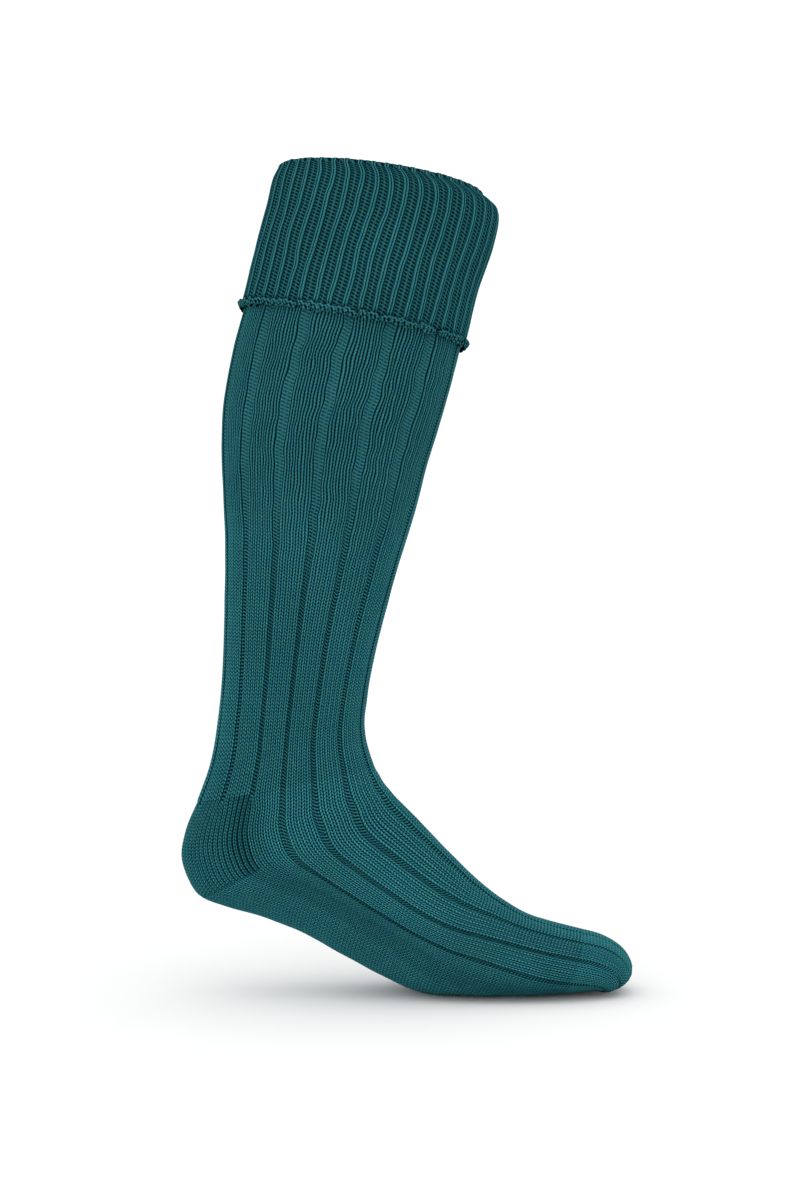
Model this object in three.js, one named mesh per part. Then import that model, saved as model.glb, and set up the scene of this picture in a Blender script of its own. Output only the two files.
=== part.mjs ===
import * as THREE from "three";

// A knee-high knitted sock with a turned-over top, in the form it has when worn: heel raised, toe to +X,
// +Z up, millimetres. The origin is the middle of the mouth, where a leg goes in.

// Driving sizes
const FOOT_LENGTH = 260; // from the back of the heel to the tip of the toe
const FOOT_WIDTH = 92; // across the ball of the foot
const ANKLE_HEIGHT = 133; // from the ground to the bend at the front of the ankle
const LEG_LENGTH = 345; // from the bend of the ankle up to the mouth
const CALF_DEPTH = 130; // the measure that the leg's front and back lines follow
const CALF_WIDTH = 120; // across the calf
const KNIT_WALL = 2.4; // one layer of the leg and foot
const CUFF_WALL = 2.6; // one layer of the turn-over
const LAYER_GAP = 0.6; // clear space between the turn-over and the leg under it
const SEAM_GAP = 0.3; // clear space between two pieces that meet edge to edge
const PANEL_COUNT = 14; // broad ribs round the leg
const CHANNEL_WIDTH = 6.4; // the sunk channel between two broad ribs, at the calf
const CHANNEL_DEPTH = 1.0;
const CUFF_RIB_COUNT = 42;
const CUFF_RIB_DEPTH = 1.1;
const EDGE_WIDTH = 3.6; // the cast-off edge, across the row of loops
const EDGE_LOOP_COUNT = 42;
const EDGE_LOOP_DEPTH = 0.5; // how far the loops swell and narrow the edge

// Rows of the form. Each row is one ring round the limb, in a plane that holds its back and front points.
// On the leg, x and z are shares of CALF_DEPTH and LEG_LENGTH, z above the ankle's bend, and width is a
// share of CALF_WIDTH. On the foot they are shares of FOOT_LENGTH, ANKLE_HEIGHT and FOOT_WIDTH.
// side is the quarter point's share of the girth, and shift how far the ribs crowd from there toward the
// sole or the back. widest is where the ring is widest, from back to front, and power shapes its back round.
const LEG_ROWS = [
  { back: [0.446, 0.998], front: [1.318, 0.953], width: 0.89 },
  { back: [0.419, 0.977], front: [1.385, 0.928], width: 0.955 },
  { back: [0.392, 0.933], front: [1.366, 0.875], width: 0.99 },
  { back: [0.342, 0.861], front: [1.298, 0.8], width: 1 },
  { back: [0.285, 0.774], front: [1.238, 0.71], width: 1 },
  { back: [0.227, 0.693], front: [1.189, 0.635], width: 0.992 },
  { back: [0.186, 0.606], front: [1.129, 0.559], width: 0.975 },
  { back: [0.178, 0.536], front: [1.083, 0.501], width: 0.943 },
  { back: [0.185, 0.455], front: [1.03, 0.426], width: 0.869 },
  { back: [0.195, 0.357], front: [0.957, 0.336], width: 0.754 },
  { back: [0.191, 0.258], front: [0.887, 0.243], width: 0.648 },
  { back: [0.183, 0.159], front: [0.833, 0.154], width: 0.574 },
  { back: [0.161, 0.07], front: [0.806, 0.084], width: 0.541 },
  { back: [0.132, 0.007], front: [0.81, 0.043], width: 0.533 },
];
const FOOT_ROWS = [
  { back: [0.038, 0.859], front: [0.422, 1], width: 0.71 },
  { back: [0.008, 0.715], front: [0.433, 0.959], width: 0.72 },
  { back: [0, 0.584], front: [0.444, 0.921], width: 0.73 },
  { back: [0.034, 0.443], front: [0.458, 0.887], width: 0.74 },
  { back: [0.097, 0.387], front: [0.471, 0.857], width: 0.745 },
  { back: [0.174, 0.345], front: [0.488, 0.823], width: 0.755 },
  { back: [0.259, 0.283], front: [0.52, 0.759], width: 0.79 },
  { back: [0.348, 0.19], front: [0.56, 0.677], width: 0.85 },
  { back: [0.437, 0.098], front: [0.603, 0.594], width: 0.92 },
  { back: [0.526, 0.026], front: [0.65, 0.504], width: 0.975 },
  { back: [0.62, 0.013], front: [0.703, 0.419], width: 1 },
  { back: [0.707, 0.014], front: [0.761, 0.35], width: 0.985 },
  { back: [0.781, 0.016], front: [0.823, 0.308], width: 0.94 },
  { back: [0.841, 0.02], front: [0.888, 0.276], width: 0.85 },
  { back: [0.873, 0.023], front: [0.937, 0.25], width: 0.765 },
  { back: [0.892, 0.024], front: [0.979, 0.197], width: 0.665 },
  { back: [0.904, 0.026], front: [0.9985, 0.128], width: 0.58 },
  { back: [0.911, 0.028], front: [0.991, 0.073], width: 0.52 },
  { back: [0.916, 0.031], front: [0.965, 0.043], width: 0.47 },
];

// One line for each of FOOT_ROWS
const FOOT_SPREAD = [
  { side: 0.25, shift: 0.006, widest: 0.5, power: 2 },
  { side: 0.241, shift: 0.004, widest: 0.48, power: 2 },
  { side: 0.243, shift: 0.003, widest: 0.47, power: 2 },
  { side: 0.25, shift: 0.004, widest: 0.46, power: 2.1 },
  { side: 0.264, shift: 0.014, widest: 0.45, power: 2.1 },
  { side: 0.274, shift: 0.026, widest: 0.44, power: 2.1 },
  { side: 0.276, shift: 0.031, widest: 0.43, power: 2.2 },
  { side: 0.269, shift: 0.035, widest: 0.42, power: 2.2 },
  { side: 0.261, shift: 0.036, widest: 0.41, power: 2.2 },
  { side: 0.251, shift: 0.029, widest: 0.4, power: 2.3 },
  { side: 0.25, shift: 0.017, widest: 0.4, power: 2.4 },
  { side: 0.259, shift: 0.006, widest: 0.4, power: 2.4 },
  { side: 0.274, shift: 0.003, widest: 0.42, power: 2.4 },
  { side: 0.287, shift: 0.002, widest: 0.44, power: 2.4 },
  { side: 0.297, shift: 0.002, widest: 0.46, power: 2.4 },
  { side: 0.3, shift: 0.002, widest: 0.5, power: 2.3 },
  { side: 0.3, shift: 0.002, widest: 0.5, power: 2.2 },
  { side: 0.3, shift: 0.002, widest: 0.5, power: 2 },
  { side: 0.3, shift: 0.002, widest: 0.5, power: 2 },
];

// Row numbers where the pieces meet. A number between two rows lies between them.
const ROW = {
  mouth: 0,
  leg_top: 1.75,
  hem: 4,
  heel_top: 14.1,
  gore: 17.2,
  toe: 27,
  toe_inside: 31.2,
  end: 32,
};

// The leg's own shift
const LEG_SHIFT = 0.0085;

const GIRTH_STEPS = 96;

function limbRow({ back, front, width, side = 0.25, shift = LEG_SHIFT, widest = 0.5, power = 2 }, sizes) {
  const place = ([x, z]) => [x * sizes.depth, sizes.base + z * sizes.height];
  return [...place(back), ...place(front), width * sizes.width, side, shift, widest, power];
}

const LEG_SIZES = { depth: CALF_DEPTH, base: ANKLE_HEIGHT, height: LEG_LENGTH, width: CALF_WIDTH };
const FOOT_SIZES = { depth: FOOT_LENGTH, base: 0, height: ANKLE_HEIGHT, width: FOOT_WIDTH };
const ROWS = [
  ...LEG_ROWS.map((row) => limbRow(row, LEG_SIZES)),
  ...FOOT_ROWS.map((row, index) => limbRow({ ...row, ...FOOT_SPREAD[index] }, FOOT_SIZES)),
];

// One row between the listed ones, on a smooth curve through them
function rowAt(number) {
  const last = ROWS.length - 1;
  const index = Math.min(Math.floor(number), last - 1);
  const t = number - index;
  const [a, b, c, d] = [-1, 0, 1, 2].map((step) => ROWS[THREE.MathUtils.clamp(index + step, 0, last)]);
  const values = b.map((value, k) => {
    const slope = (c[k] - a[k]) * t;
    const bend = (2 * a[k] - 5 * value + 4 * c[k] - d[k]) * t * t;
    const twist = (3 * value - a[k] - 3 * c[k] + d[k]) * t * t * t;
    return 0.5 * (2 * value + slope + bend + twist);
  });
  const [backX, backZ, frontX, frontZ, width, side, shift, widest, power] = values;
  const rear = new THREE.Vector3(backX, 0, backZ);
  const fore = new THREE.Vector3(frontX, 0, frontZ);
  return { rear, fore, width, side, shift, widest, power };
}

// The ring's point at an angle from the front line, moved outward in the ring's plane by `grow`
function ringPoint(row, angle, grow = 0) {
  const along = row.fore.clone().sub(row.rear).normalize();
  const rear = row.rear.clone().addScaledVector(along, -grow);
  const fore = row.fore.clone().addScaledVector(along, grow);
  const middle = rear.clone().lerp(fore, row.widest);
  const cos = Math.cos(angle);
  const sin = Math.sin(angle);
  const power = cos >= 0 ? 2 : row.power;
  const end = cos >= 0 ? fore : rear;
  const point = middle.clone().lerp(end, Math.abs(cos) ** (2 / power));
  point.y = -0.5 * (row.width + 2 * grow) * Math.sign(sin) * Math.abs(sin) ** (2 / power);
  return point;
}

// The angle at which a ring has gone round a given share of its girth
function angleAtShare(row, share) {
  const lengths = [0];
  let before = ringPoint(row, 0);
  for (let step = 1; step <= GIRTH_STEPS; step += 1) {
    const here = ringPoint(row, (2 * Math.PI * step) / GIRTH_STEPS);
    lengths.push(lengths[step - 1] + here.distanceTo(before));
    before = here;
  }
  const wanted = share * lengths[GIRTH_STEPS];
  let step = 1;
  while (step < GIRTH_STEPS && lengths[step] < wanted) step += 1;
  const part = (wanted - lengths[step - 1]) / (lengths[step] - lengths[step - 1]);
  return (2 * Math.PI * (step - 1 + part)) / GIRTH_STEPS;
}

// The share of the girth for a place round the knit, 0 at the front and 0.5 at the back
function shareAt(place, { side, shift }) {
  const half = place <= 0.5 ? place : 1 - place;
  const spread = half <= 0.25 ? (half * side) / 0.25 : side + ((half - 0.25) * (0.5 - side)) / 0.25;
  const share = spread + shift * Math.sin(4 * Math.PI * half);
  return place <= 0.5 ? share : 1 - share;
}

// A point of the knit: row number, place round it and growth off the leg's outer face
function knitPoint(number, place, grow) {
  const row = rowAt(number);
  return ringPoint(row, angleAtShare(row, shareAt(place, row)), grow);
}

// Half a seam's gap, in row numbers, where the rows lie closest together at the given places
function halfGapInRows(number, places) {
  const reach = 0.05;
  const spacings = places.map((place) => {
    return knitPoint(number - reach, place, 0).distanceTo(knitPoint(number + reach, place, 0)) / (2 * reach);
  });
  return SEAM_GAP / 2 / Math.min(...spacings);
}

// Half a seam's gap, in places round the knit
function halfGapInPlaces(number, place) {
  const reach = 0.005;
  const width = knitPoint(number, place - reach, 0).distanceTo(knitPoint(number, place + reach, 0));
  return (SEAM_GAP / 2 / width) * 2 * reach;
}

// A closed solid from a list of points and faces, with flat shading
function solid(name, points, faces, color) {
  const geometry = new THREE.BufferGeometry();
  geometry.setAttribute("position", new THREE.Float32BufferAttribute(points.flatMap((p) => p.toArray()), 3));
  geometry.setIndex(faces.flat());
  geometry.computeVertexNormals();
  const material = new THREE.MeshStandardMaterial({ color, roughness: 0.92, metalness: 0 });
  const mesh = new THREE.Mesh(geometry, material);
  mesh.name = name;
  return mesh;
}

// One layer of knit over a grid of rows and places: an outer and an inner skin, joined along every free
// edge. `present` says which cells exist, and `closed` ends the last row in a cap.
function knitLayer({ name, color, rows, places, round, present, outside, inside, closed = false }) {
  const count = places.length;
  const points = [];
  for (const skin of [outside, inside]) {
    for (const number of rows) {
      for (const place of places) points.push(skin(number, place));
    }
  }
  const offset = rows.length * count;
  const id = (skin, i, j) => skin * offset + i * count + (j % count);
  const cells = round ? count : count - 1;
  const has = (i, j) => {
    if (i < 0 || i >= rows.length - 1) return false;
    if (!round && (j < 0 || j >= cells)) return false;
    return !present || present(i, ((j % count) + count) % count);
  };
  const faces = [];
  const quad = (a, b, c, d) => faces.push([a, c, b], [a, d, c]);
  for (let i = 0; i < rows.length - 1; i += 1) {
    for (let j = 0; j < cells; j += 1) {
      if (!has(i, j)) continue;
      quad(id(0, i, j), id(0, i + 1, j), id(0, i + 1, j + 1), id(0, i, j + 1));
      quad(id(1, i, j), id(1, i, j + 1), id(1, i + 1, j + 1), id(1, i + 1, j));
      if (!has(i - 1, j)) quad(id(1, i, j + 1), id(1, i, j), id(0, i, j), id(0, i, j + 1));
      if (!has(i + 1, j) && !(closed && i === rows.length - 2)) {
        quad(id(1, i + 1, j), id(1, i + 1, j + 1), id(0, i + 1, j + 1), id(0, i + 1, j));
      }
      if (!has(i, j - 1)) quad(id(1, i, j), id(1, i + 1, j), id(0, i + 1, j), id(0, i, j));
      const next = j + 1;
      if (!has(i, next)) quad(id(1, i + 1, next), id(1, i, next), id(0, i, next), id(0, i + 1, next));
    }
  }
  if (closed) {
    const last = rows.length - 1;
    for (const skin of [0, 1]) {
      const ring = places.map((_, j) => points[id(skin, last, j)]);
      const middle = ring.reduce((sum, p) => sum.add(p), new THREE.Vector3()).divideScalar(count);
      points.push(middle);
      const hub = points.length - 1;
      for (let j = 0; j < count; j += 1) {
        const [a, b] = [id(skin, last, j), id(skin, last, j + 1)];
        faces.push(skin === 0 ? [a, b, hub] : [b, a, hub]);
      }
    }
  }
  const used = new Map();
  const kept = [];
  const renumber = (index) => {
    if (!used.has(index)) {
      used.set(index, kept.length);
      kept.push(points[index]);
    }
    return used.get(index);
  };
  const trimmed = faces.map((face) => face.map(renumber));
  return solid(name, kept, trimmed, color);
}

function evenly(from, to, steps) {
  return Array.from({ length: steps + 1 }, (_, k) => from + ((to - from) * k) / steps);
}

// Places of the channels' middles, and their half width as a share of the calf's girth
const CALF_GIRTH = (Math.PI * (CALF_DEPTH + CALF_WIDTH)) / 2;
const CHANNEL_HALF = CHANNEL_WIDTH / 2 / CALF_GIRTH;
const CHANNEL_PLACES = Array.from({ length: PANEL_COUNT }, (_, k) => (k + 0.5) / PANEL_COUNT);

// Depth of the channels at a place: full over the middle half of the channel, and ramped at its sides
function channelDepth(place, channels) {
  const nearest = Math.min(...channels.map((middle) => Math.abs(((place - middle + 1.5) % 1) - 0.5)));
  return CHANNEL_DEPTH * THREE.MathUtils.clamp((1 - nearest / CHANNEL_HALF) * 2, 0, 1);
}

function channelPlaces(channels) {
  return channels.flatMap((middle) => [-1, -0.5, 0.5, 1].map((side) => middle + side * CHANNEL_HALF));
}

const TEAL = 0x1f6467;
const DEEP_TEAL = 0x1a5558;
const LIGHT_TEAL = 0x276f71;

// The meeting lines, and half their gaps on each side
const INSTEP_CHANNELS = CHANNEL_PLACES.filter((place) => place < 0.26 || place > 0.74);
const HEEL_SIDE = CHANNEL_PLACES.find((place) => place > 0.3);
const LEG_TOP_GAP = halfGapInRows(ROW.leg_top, [0, 0.25, 0.5]);
const HEEL_TOP_GAP = halfGapInRows(ROW.heel_top, [0, 0.25, 0.5]);
const GORE_GAP = halfGapInRows(ROW.gore, [HEEL_SIDE, 0.4, 0.5]);
const TOE_GAP = halfGapInRows(ROW.toe, [0, 0.25, 0.5]);
const HEEL_SIDE_GAP = halfGapInPlaces(ROW.gore, HEEL_SIDE);

function makeLeg() {
  const panels = CHANNEL_PLACES.map((_, k) => k / PANEL_COUNT);
  const places = [...channelPlaces(CHANNEL_PLACES), ...panels].sort((a, b) => a - b);
  const rows = [ROW.leg_top + LEG_TOP_GAP, ROW.hem, 5, 6, 7, 9, 10, 11, 12, 13, ROW.heel_top - HEEL_TOP_GAP];
  return knitLayer({
    name: "leg",
    color: TEAL,
    rows,
    places,
    round: true,
    outside: (number, place) => knitPoint(number, place, -channelDepth(place, CHANNEL_PLACES)),
    inside: (number, place) => knitPoint(number, place, -KNIT_WALL),
  });
}

function footPlaces() {
  const tops = [0, 1, 2, 3, 11, 12, 13].map((panel) => panel / PANEL_COUNT);
  const sole = evenly(HEEL_SIDE, 1 - HEEL_SIDE, 6).slice(1, -1);
  const heelEdges = [HEEL_SIDE - HEEL_SIDE_GAP, 1 - HEEL_SIDE + HEEL_SIDE_GAP];
  const soleEdges = [0.29, 0.71];
  const ribbed = channelPlaces(INSTEP_CHANNELS);
  return [...ribbed, ...tops, ...sole, ...heelEdges, ...soleEdges].sort((a, b) => a - b);
}

// The instep starts at the heel's top line and the whole tube at the gore, so the heel sits in between
function makeFoot() {
  const places = footPlaces();
  const gore = ROW.gore + GORE_GAP;
  const top = ROW.heel_top + HEEL_TOP_GAP;
  const rows = [top, 15.2, 16.2, gore, 18, 19, 20, 21, 22, 23, 24, 25.3, ROW.toe - TOE_GAP];
  const soleStart = HEEL_SIDE - HEEL_SIDE_GAP / 2;
  const isSole = (place) => place > soleStart && place < 1 - soleStart;
  const touchesSole = (j) => isSole(places[j]) || isSole(places[(j + 1) % places.length]);
  return knitLayer({
    name: "foot",
    color: TEAL,
    rows,
    places,
    round: true,
    present: (i, j) => i >= rows.indexOf(gore) || !touchesSole(j),
    outside: (number, place) => knitPoint(number, place, -channelDepth(place, INSTEP_CHANNELS)),
    inside: (number, place) => knitPoint(number, place, -KNIT_WALL),
  });
}

function makeHeel() {
  const edge = HEEL_SIDE + HEEL_SIDE_GAP;
  return knitLayer({
    name: "heel",
    color: DEEP_TEAL,
    rows: evenly(ROW.heel_top + HEEL_TOP_GAP, ROW.gore - GORE_GAP, 6),
    places: evenly(edge, 1 - edge, 14),
    round: false,
    outside: (number, place) => knitPoint(number, place, 0),
    inside: (number, place) => knitPoint(number, place, -KNIT_WALL),
  });
}

// The toe's inner skin ends before its outer one, so that the tip keeps a wall
function makeToe() {
  const start = ROW.toe + TOE_GAP;
  const inner = (number) => THREE.MathUtils.mapLinear(number, start, ROW.end, start, ROW.toe_inside);
  const fade = (number) => THREE.MathUtils.clamp((ROW.toe_inside - number) / 2.5, 0, 1);
  const sunk = (number, place) => channelDepth(place, INSTEP_CHANNELS) * fade(number);
  return knitLayer({
    name: "toe",
    color: TEAL,
    rows: [start, 28, 28.8, 29.6, 30.4, 31.2, ROW.end],
    places: footPlaces(),
    round: true,
    closed: true,
    outside: (number, place) => knitPoint(number, place, -sunk(number, place)),
    inside: (number, place) => knitPoint(inner(number), place, -KNIT_WALL),
  });
}

// The turn-over's section: row number, growth off the leg's face, lift above the mouth's row, and the way
// that a rib's groove sinks there
function cuffSection() {
  const outer = LAYER_GAP + CUFF_WALL;
  const bend = LAYER_GAP / 2;
  const legEnd = ROW.leg_top - LEG_TOP_GAP;
  const face = (row) => ({ row, grow: outer, lift: 0, sink: [1, 0] });
  const plain = (row, grow) => ({ row, grow, lift: 0, sink: [0, 0] });
  const fold = (degrees) => {
    const angle = THREE.MathUtils.degToRad(degrees);
    const [cos, sin] = [Math.cos(angle), Math.sin(angle)];
    const radius = bend + CUFF_WALL;
    return { row: ROW.mouth, grow: bend + radius * cos, lift: radius * sin, sink: [cos, sin] };
  };
  return [
    face(ROW.hem),
    face(2.4),
    face(1),
    face(ROW.mouth),
    fold(60),
    fold(120),
    plain(ROW.mouth, -CUFF_WALL),
    plain(legEnd, -CUFF_WALL),
    plain(legEnd, 0),
    plain(ROW.mouth, 0),
    { row: ROW.mouth, grow: bend, lift: bend, sink: [0, 0] },
    plain(ROW.mouth, LAYER_GAP),
    plain(legEnd, LAYER_GAP),
    plain(ROW.hem, LAYER_GAP),
  ];
}

// The way out of the limb in a row's plane, square to the line from its back to its front
function rowNormal(row) {
  const across = row.fore.clone().sub(row.rear).normalize();
  return new THREE.Vector3(-across.z, 0, across.x);
}

function makeCuff() {
  const section = cuffSection();
  const ribParts = [0, 0.25, 0.75];
  const around = CUFF_RIB_COUNT * ribParts.length;
  const up = rowNormal(rowAt(ROW.mouth));
  const points = section.flatMap(({ row, grow, lift, sink }) => {
    return Array.from({ length: around }, (_, j) => {
      const part = j % ribParts.length;
      const place = (Math.floor(j / ribParts.length) + ribParts[part]) / CUFF_RIB_COUNT;
      const depth = part === 0 ? 0 : CUFF_RIB_DEPTH;
      return knitPoint(row, place, grow - depth * sink[0]).addScaledVector(up, lift - depth * sink[1]);
    });
  });
  return solid("cuff", points, ringFaces(section.length, around, true), LIGHT_TEAL);
}

// Faces of a ring-shaped body whose points run round the ring once for each point of its section
function ringFaces(sectionCount, around, flipped) {
  const faces = [];
  for (let i = 0; i < sectionCount; i += 1) {
    const next = (i + 1) % sectionCount;
    for (let j = 0; j < around; j += 1) {
      const side = (j + 1) % around;
      const corners = [i * around + j, i * around + side, next * around + side, next * around + j];
      const [a, b, c, d] = flipped ? corners.toReversed() : corners;
      faces.push([a, b, c], [a, c, d]);
    }
  }
  return faces;
}

// The cast-off edge: a rope of loops under the turn-over's hem
function makeCuffEdge() {
  const sides = 6;
  const steps = EDGE_LOOP_COUNT * 2;
  const radius = EDGE_WIDTH / 2;
  const up = rowNormal(rowAt(ROW.hem));
  const points = evenly(0, 2 * Math.PI, sides).slice(0, -1).flatMap((angle) => {
    return Array.from({ length: steps }, (_, step) => {
      const swell = radius - (step % 2) * EDGE_LOOP_DEPTH;
      const grow = LAYER_GAP + radius + swell * Math.cos(angle);
      const rise = swell * Math.sin(angle) - radius - SEAM_GAP;
      return knitPoint(ROW.hem, step / steps, grow).addScaledVector(up, rise);
    });
  });
  return solid("cuff_edge", points, ringFaces(sides, steps, true), DEEP_TEAL);
}

const sock = new THREE.Group();
sock.add(makeCuff(), makeCuffEdge(), makeLeg(), makeHeel(), makeFoot(), makeToe());

// The middle of the mouth becomes the origin
const mouthRow = rowAt(ROW.mouth);
const mouthMiddle = mouthRow.rear.clone().lerp(mouthRow.fore, 0.5);
sock.position.copy(mouthMiddle).negate();

export default sock;
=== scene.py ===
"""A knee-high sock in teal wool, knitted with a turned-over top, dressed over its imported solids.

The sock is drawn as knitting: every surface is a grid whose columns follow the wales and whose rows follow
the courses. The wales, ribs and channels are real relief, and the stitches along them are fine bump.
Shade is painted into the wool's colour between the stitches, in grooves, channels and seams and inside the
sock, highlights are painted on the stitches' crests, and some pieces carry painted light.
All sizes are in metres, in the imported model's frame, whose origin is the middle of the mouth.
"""

from __future__ import annotations

import logging
import math
from dataclasses import dataclass, field, replace
from enum import Enum

import bpy
import numpy as np
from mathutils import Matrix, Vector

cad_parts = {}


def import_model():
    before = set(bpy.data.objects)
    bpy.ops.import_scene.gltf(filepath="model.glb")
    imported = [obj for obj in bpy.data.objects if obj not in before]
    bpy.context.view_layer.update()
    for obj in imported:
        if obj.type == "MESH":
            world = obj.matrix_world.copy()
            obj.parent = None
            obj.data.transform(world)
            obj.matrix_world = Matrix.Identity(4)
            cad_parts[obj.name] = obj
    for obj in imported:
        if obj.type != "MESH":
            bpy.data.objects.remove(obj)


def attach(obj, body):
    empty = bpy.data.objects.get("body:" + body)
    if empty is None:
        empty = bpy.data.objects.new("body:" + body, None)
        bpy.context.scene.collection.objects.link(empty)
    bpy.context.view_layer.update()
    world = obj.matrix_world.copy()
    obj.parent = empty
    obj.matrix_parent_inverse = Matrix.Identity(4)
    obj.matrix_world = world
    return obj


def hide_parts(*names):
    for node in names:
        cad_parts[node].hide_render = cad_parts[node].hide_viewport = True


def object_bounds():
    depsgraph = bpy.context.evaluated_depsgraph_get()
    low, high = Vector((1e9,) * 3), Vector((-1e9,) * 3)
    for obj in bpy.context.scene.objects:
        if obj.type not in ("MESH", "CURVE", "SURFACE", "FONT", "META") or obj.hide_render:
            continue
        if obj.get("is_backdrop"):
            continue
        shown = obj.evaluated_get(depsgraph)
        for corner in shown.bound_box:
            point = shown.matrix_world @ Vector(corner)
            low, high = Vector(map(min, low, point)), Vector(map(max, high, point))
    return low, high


LOG = logging.getLogger("sock")

Array = np.ndarray

# Sizes of the worn form, as in the part's source
FOOT_LENGTH = 0.260
FOOT_WIDTH = 0.092
ANKLE_HEIGHT = 0.133
LEG_LENGTH = 0.345
CALF_DEPTH = 0.130
CALF_WIDTH = 0.120
KNIT_WALL = 0.0024
CUFF_WALL = 0.0026
LAYER_GAP = 0.0006
PANELS = 14
CUFF_RIBS = 42

# The gauge of the knitting: wales in a panel of the broad rib and in a rib of the turn-over, and the height
# of a course in metres
KNIT_WALES = 5
PURL_WALES = 2
PANEL_WALES = KNIT_WALES + PURL_WALES
WALES = PANELS * PANEL_WALES
RIB_WALES = 3
CUFF_WALES = CUFF_RIBS * RIB_WALES
COURSE = 0.00194

# Where the pieces meet, as row numbers of the form
MOUTH_ROW = 0.0
LEG_TOP_ROW = 1.75
HEM_ROW = 4.0
HEEL_TOP_ROW = 14.1
GORE_ROW = 17.2
TOE_ROW = 27.0
TOE_INSIDE_ROW = 31.2
END_ROW = 32.0

# How far round from the front line the instep's last channels and the heel's edges lie, in panels
INSTEP_PANELS = 3.5
HEEL_PANELS = 4.5
HEEL_SIDE = HEEL_PANELS / PANELS

# How far into a channel its purl stitches begin, 0 at its edge and 1 in its middle
PURL_START = 0.3

# Powers that round the arms of plain stitches and the gaps of purl ones
ARM_POWER = 0.8
GAP_POWER = 0.55


class Column(Enum):
    """The columns of a row of the form."""

    BACK_X = 0
    BACK_Z = 1
    FRONT_X = 2
    FRONT_Z = 3
    WIDTH = 4
    SIDE = 5
    SHIFT = 6
    WIDEST = 7
    BACK_POWER = 8


# Shares of CALF_DEPTH and LEG_LENGTH (x and z of the back and front points) and of CALF_WIDTH
LEG_ROWS = (
    (0.446, 0.998, 1.318, 0.953, 0.89),
    (0.419, 0.977, 1.385, 0.928, 0.955),
    (0.392, 0.933, 1.366, 0.875, 0.99),
    (0.342, 0.861, 1.298, 0.8, 1.0),
    (0.285, 0.774, 1.238, 0.71, 1.0),
    (0.227, 0.693, 1.189, 0.635, 0.992),
    (0.186, 0.606, 1.129, 0.559, 0.975),
    (0.178, 0.536, 1.083, 0.501, 0.943),
    (0.185, 0.455, 1.03, 0.426, 0.869),
    (0.195, 0.357, 0.957, 0.336, 0.754),
    (0.191, 0.258, 0.887, 0.243, 0.648),
    (0.183, 0.159, 0.833, 0.154, 0.574),
    (0.161, 0.07, 0.806, 0.084, 0.541),
    (0.132, 0.007, 0.81, 0.043, 0.533),
)

# All the way down the leg: the quarter point's share of the girth, how far the ribs crowd toward the back,
# where a ring is widest, and the power of its back round
LEG_SPREAD = (0.25, 0.0085, 0.5, 2.0)

# Shares of FOOT_LENGTH and ANKLE_HEIGHT and of FOOT_WIDTH, then the quarter point's share of the girth,
# how far the ribs crowd toward the sole, where the ring is widest, and the power of its back round
FOOT_ROWS = (
    (0.038, 0.859, 0.422, 1.0, 0.71, 0.25, 0.006, 0.5, 2.0),
    (0.008, 0.715, 0.433, 0.959, 0.72, 0.241, 0.004, 0.48, 2.0),
    (0.0, 0.584, 0.444, 0.921, 0.73, 0.243, 0.003, 0.47, 2.0),
    (0.034, 0.443, 0.458, 0.887, 0.74, 0.25, 0.004, 0.46, 2.1),
    (0.097, 0.387, 0.471, 0.857, 0.745, 0.264, 0.014, 0.45, 2.1),
    (0.174, 0.345, 0.488, 0.823, 0.755, 0.274, 0.026, 0.44, 2.1),
    (0.259, 0.283, 0.52, 0.759, 0.79, 0.276, 0.031, 0.43, 2.2),
    (0.348, 0.19, 0.56, 0.677, 0.85, 0.269, 0.035, 0.42, 2.2),
    (0.437, 0.098, 0.603, 0.594, 0.92, 0.261, 0.036, 0.41, 2.2),
    (0.526, 0.026, 0.65, 0.504, 0.975, 0.251, 0.029, 0.4, 2.3),
    (0.62, 0.013, 0.703, 0.419, 1.0, 0.25, 0.017, 0.4, 2.4),
    (0.707, 0.014, 0.761, 0.35, 0.985, 0.259, 0.006, 0.4, 2.4),
    (0.781, 0.016, 0.823, 0.308, 0.94, 0.274, 0.003, 0.42, 2.4),
    (0.841, 0.02, 0.888, 0.276, 0.85, 0.287, 0.002, 0.44, 2.4),
    (0.873, 0.023, 0.937, 0.25, 0.765, 0.297, 0.002, 0.46, 2.4),
    (0.892, 0.024, 0.979, 0.197, 0.665, 0.3, 0.002, 0.5, 2.3),
    (0.904, 0.026, 0.9985, 0.128, 0.58, 0.3, 0.002, 0.5, 2.2),
    (0.911, 0.028, 0.991, 0.073, 0.52, 0.3, 0.002, 0.5, 2.0),
    (0.916, 0.031, 0.965, 0.043, 0.47, 0.3, 0.002, 0.5, 2.0),
)


def ease(value: Array) -> Array:
    """A smooth ramp from 0 at 0 to 1 at 1."""
    return value * value * (3.0 - 2.0 * value)


def smoothstep(low: float, high: float, value: Array) -> Array:
    """A smooth ramp from 0 at low to 1 at high."""
    return ease(np.clip((value - low) / (high - low), 0.0, 1.0))


def arc_lengths(points: Array) -> Array:
    """Distances down each column of a grid of points, from its first row."""
    steps = np.linalg.norm(np.diff(points, axis=0), axis=2)
    return np.concatenate([np.zeros((1, points.shape[1])), np.cumsum(steps, axis=0)])


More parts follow.
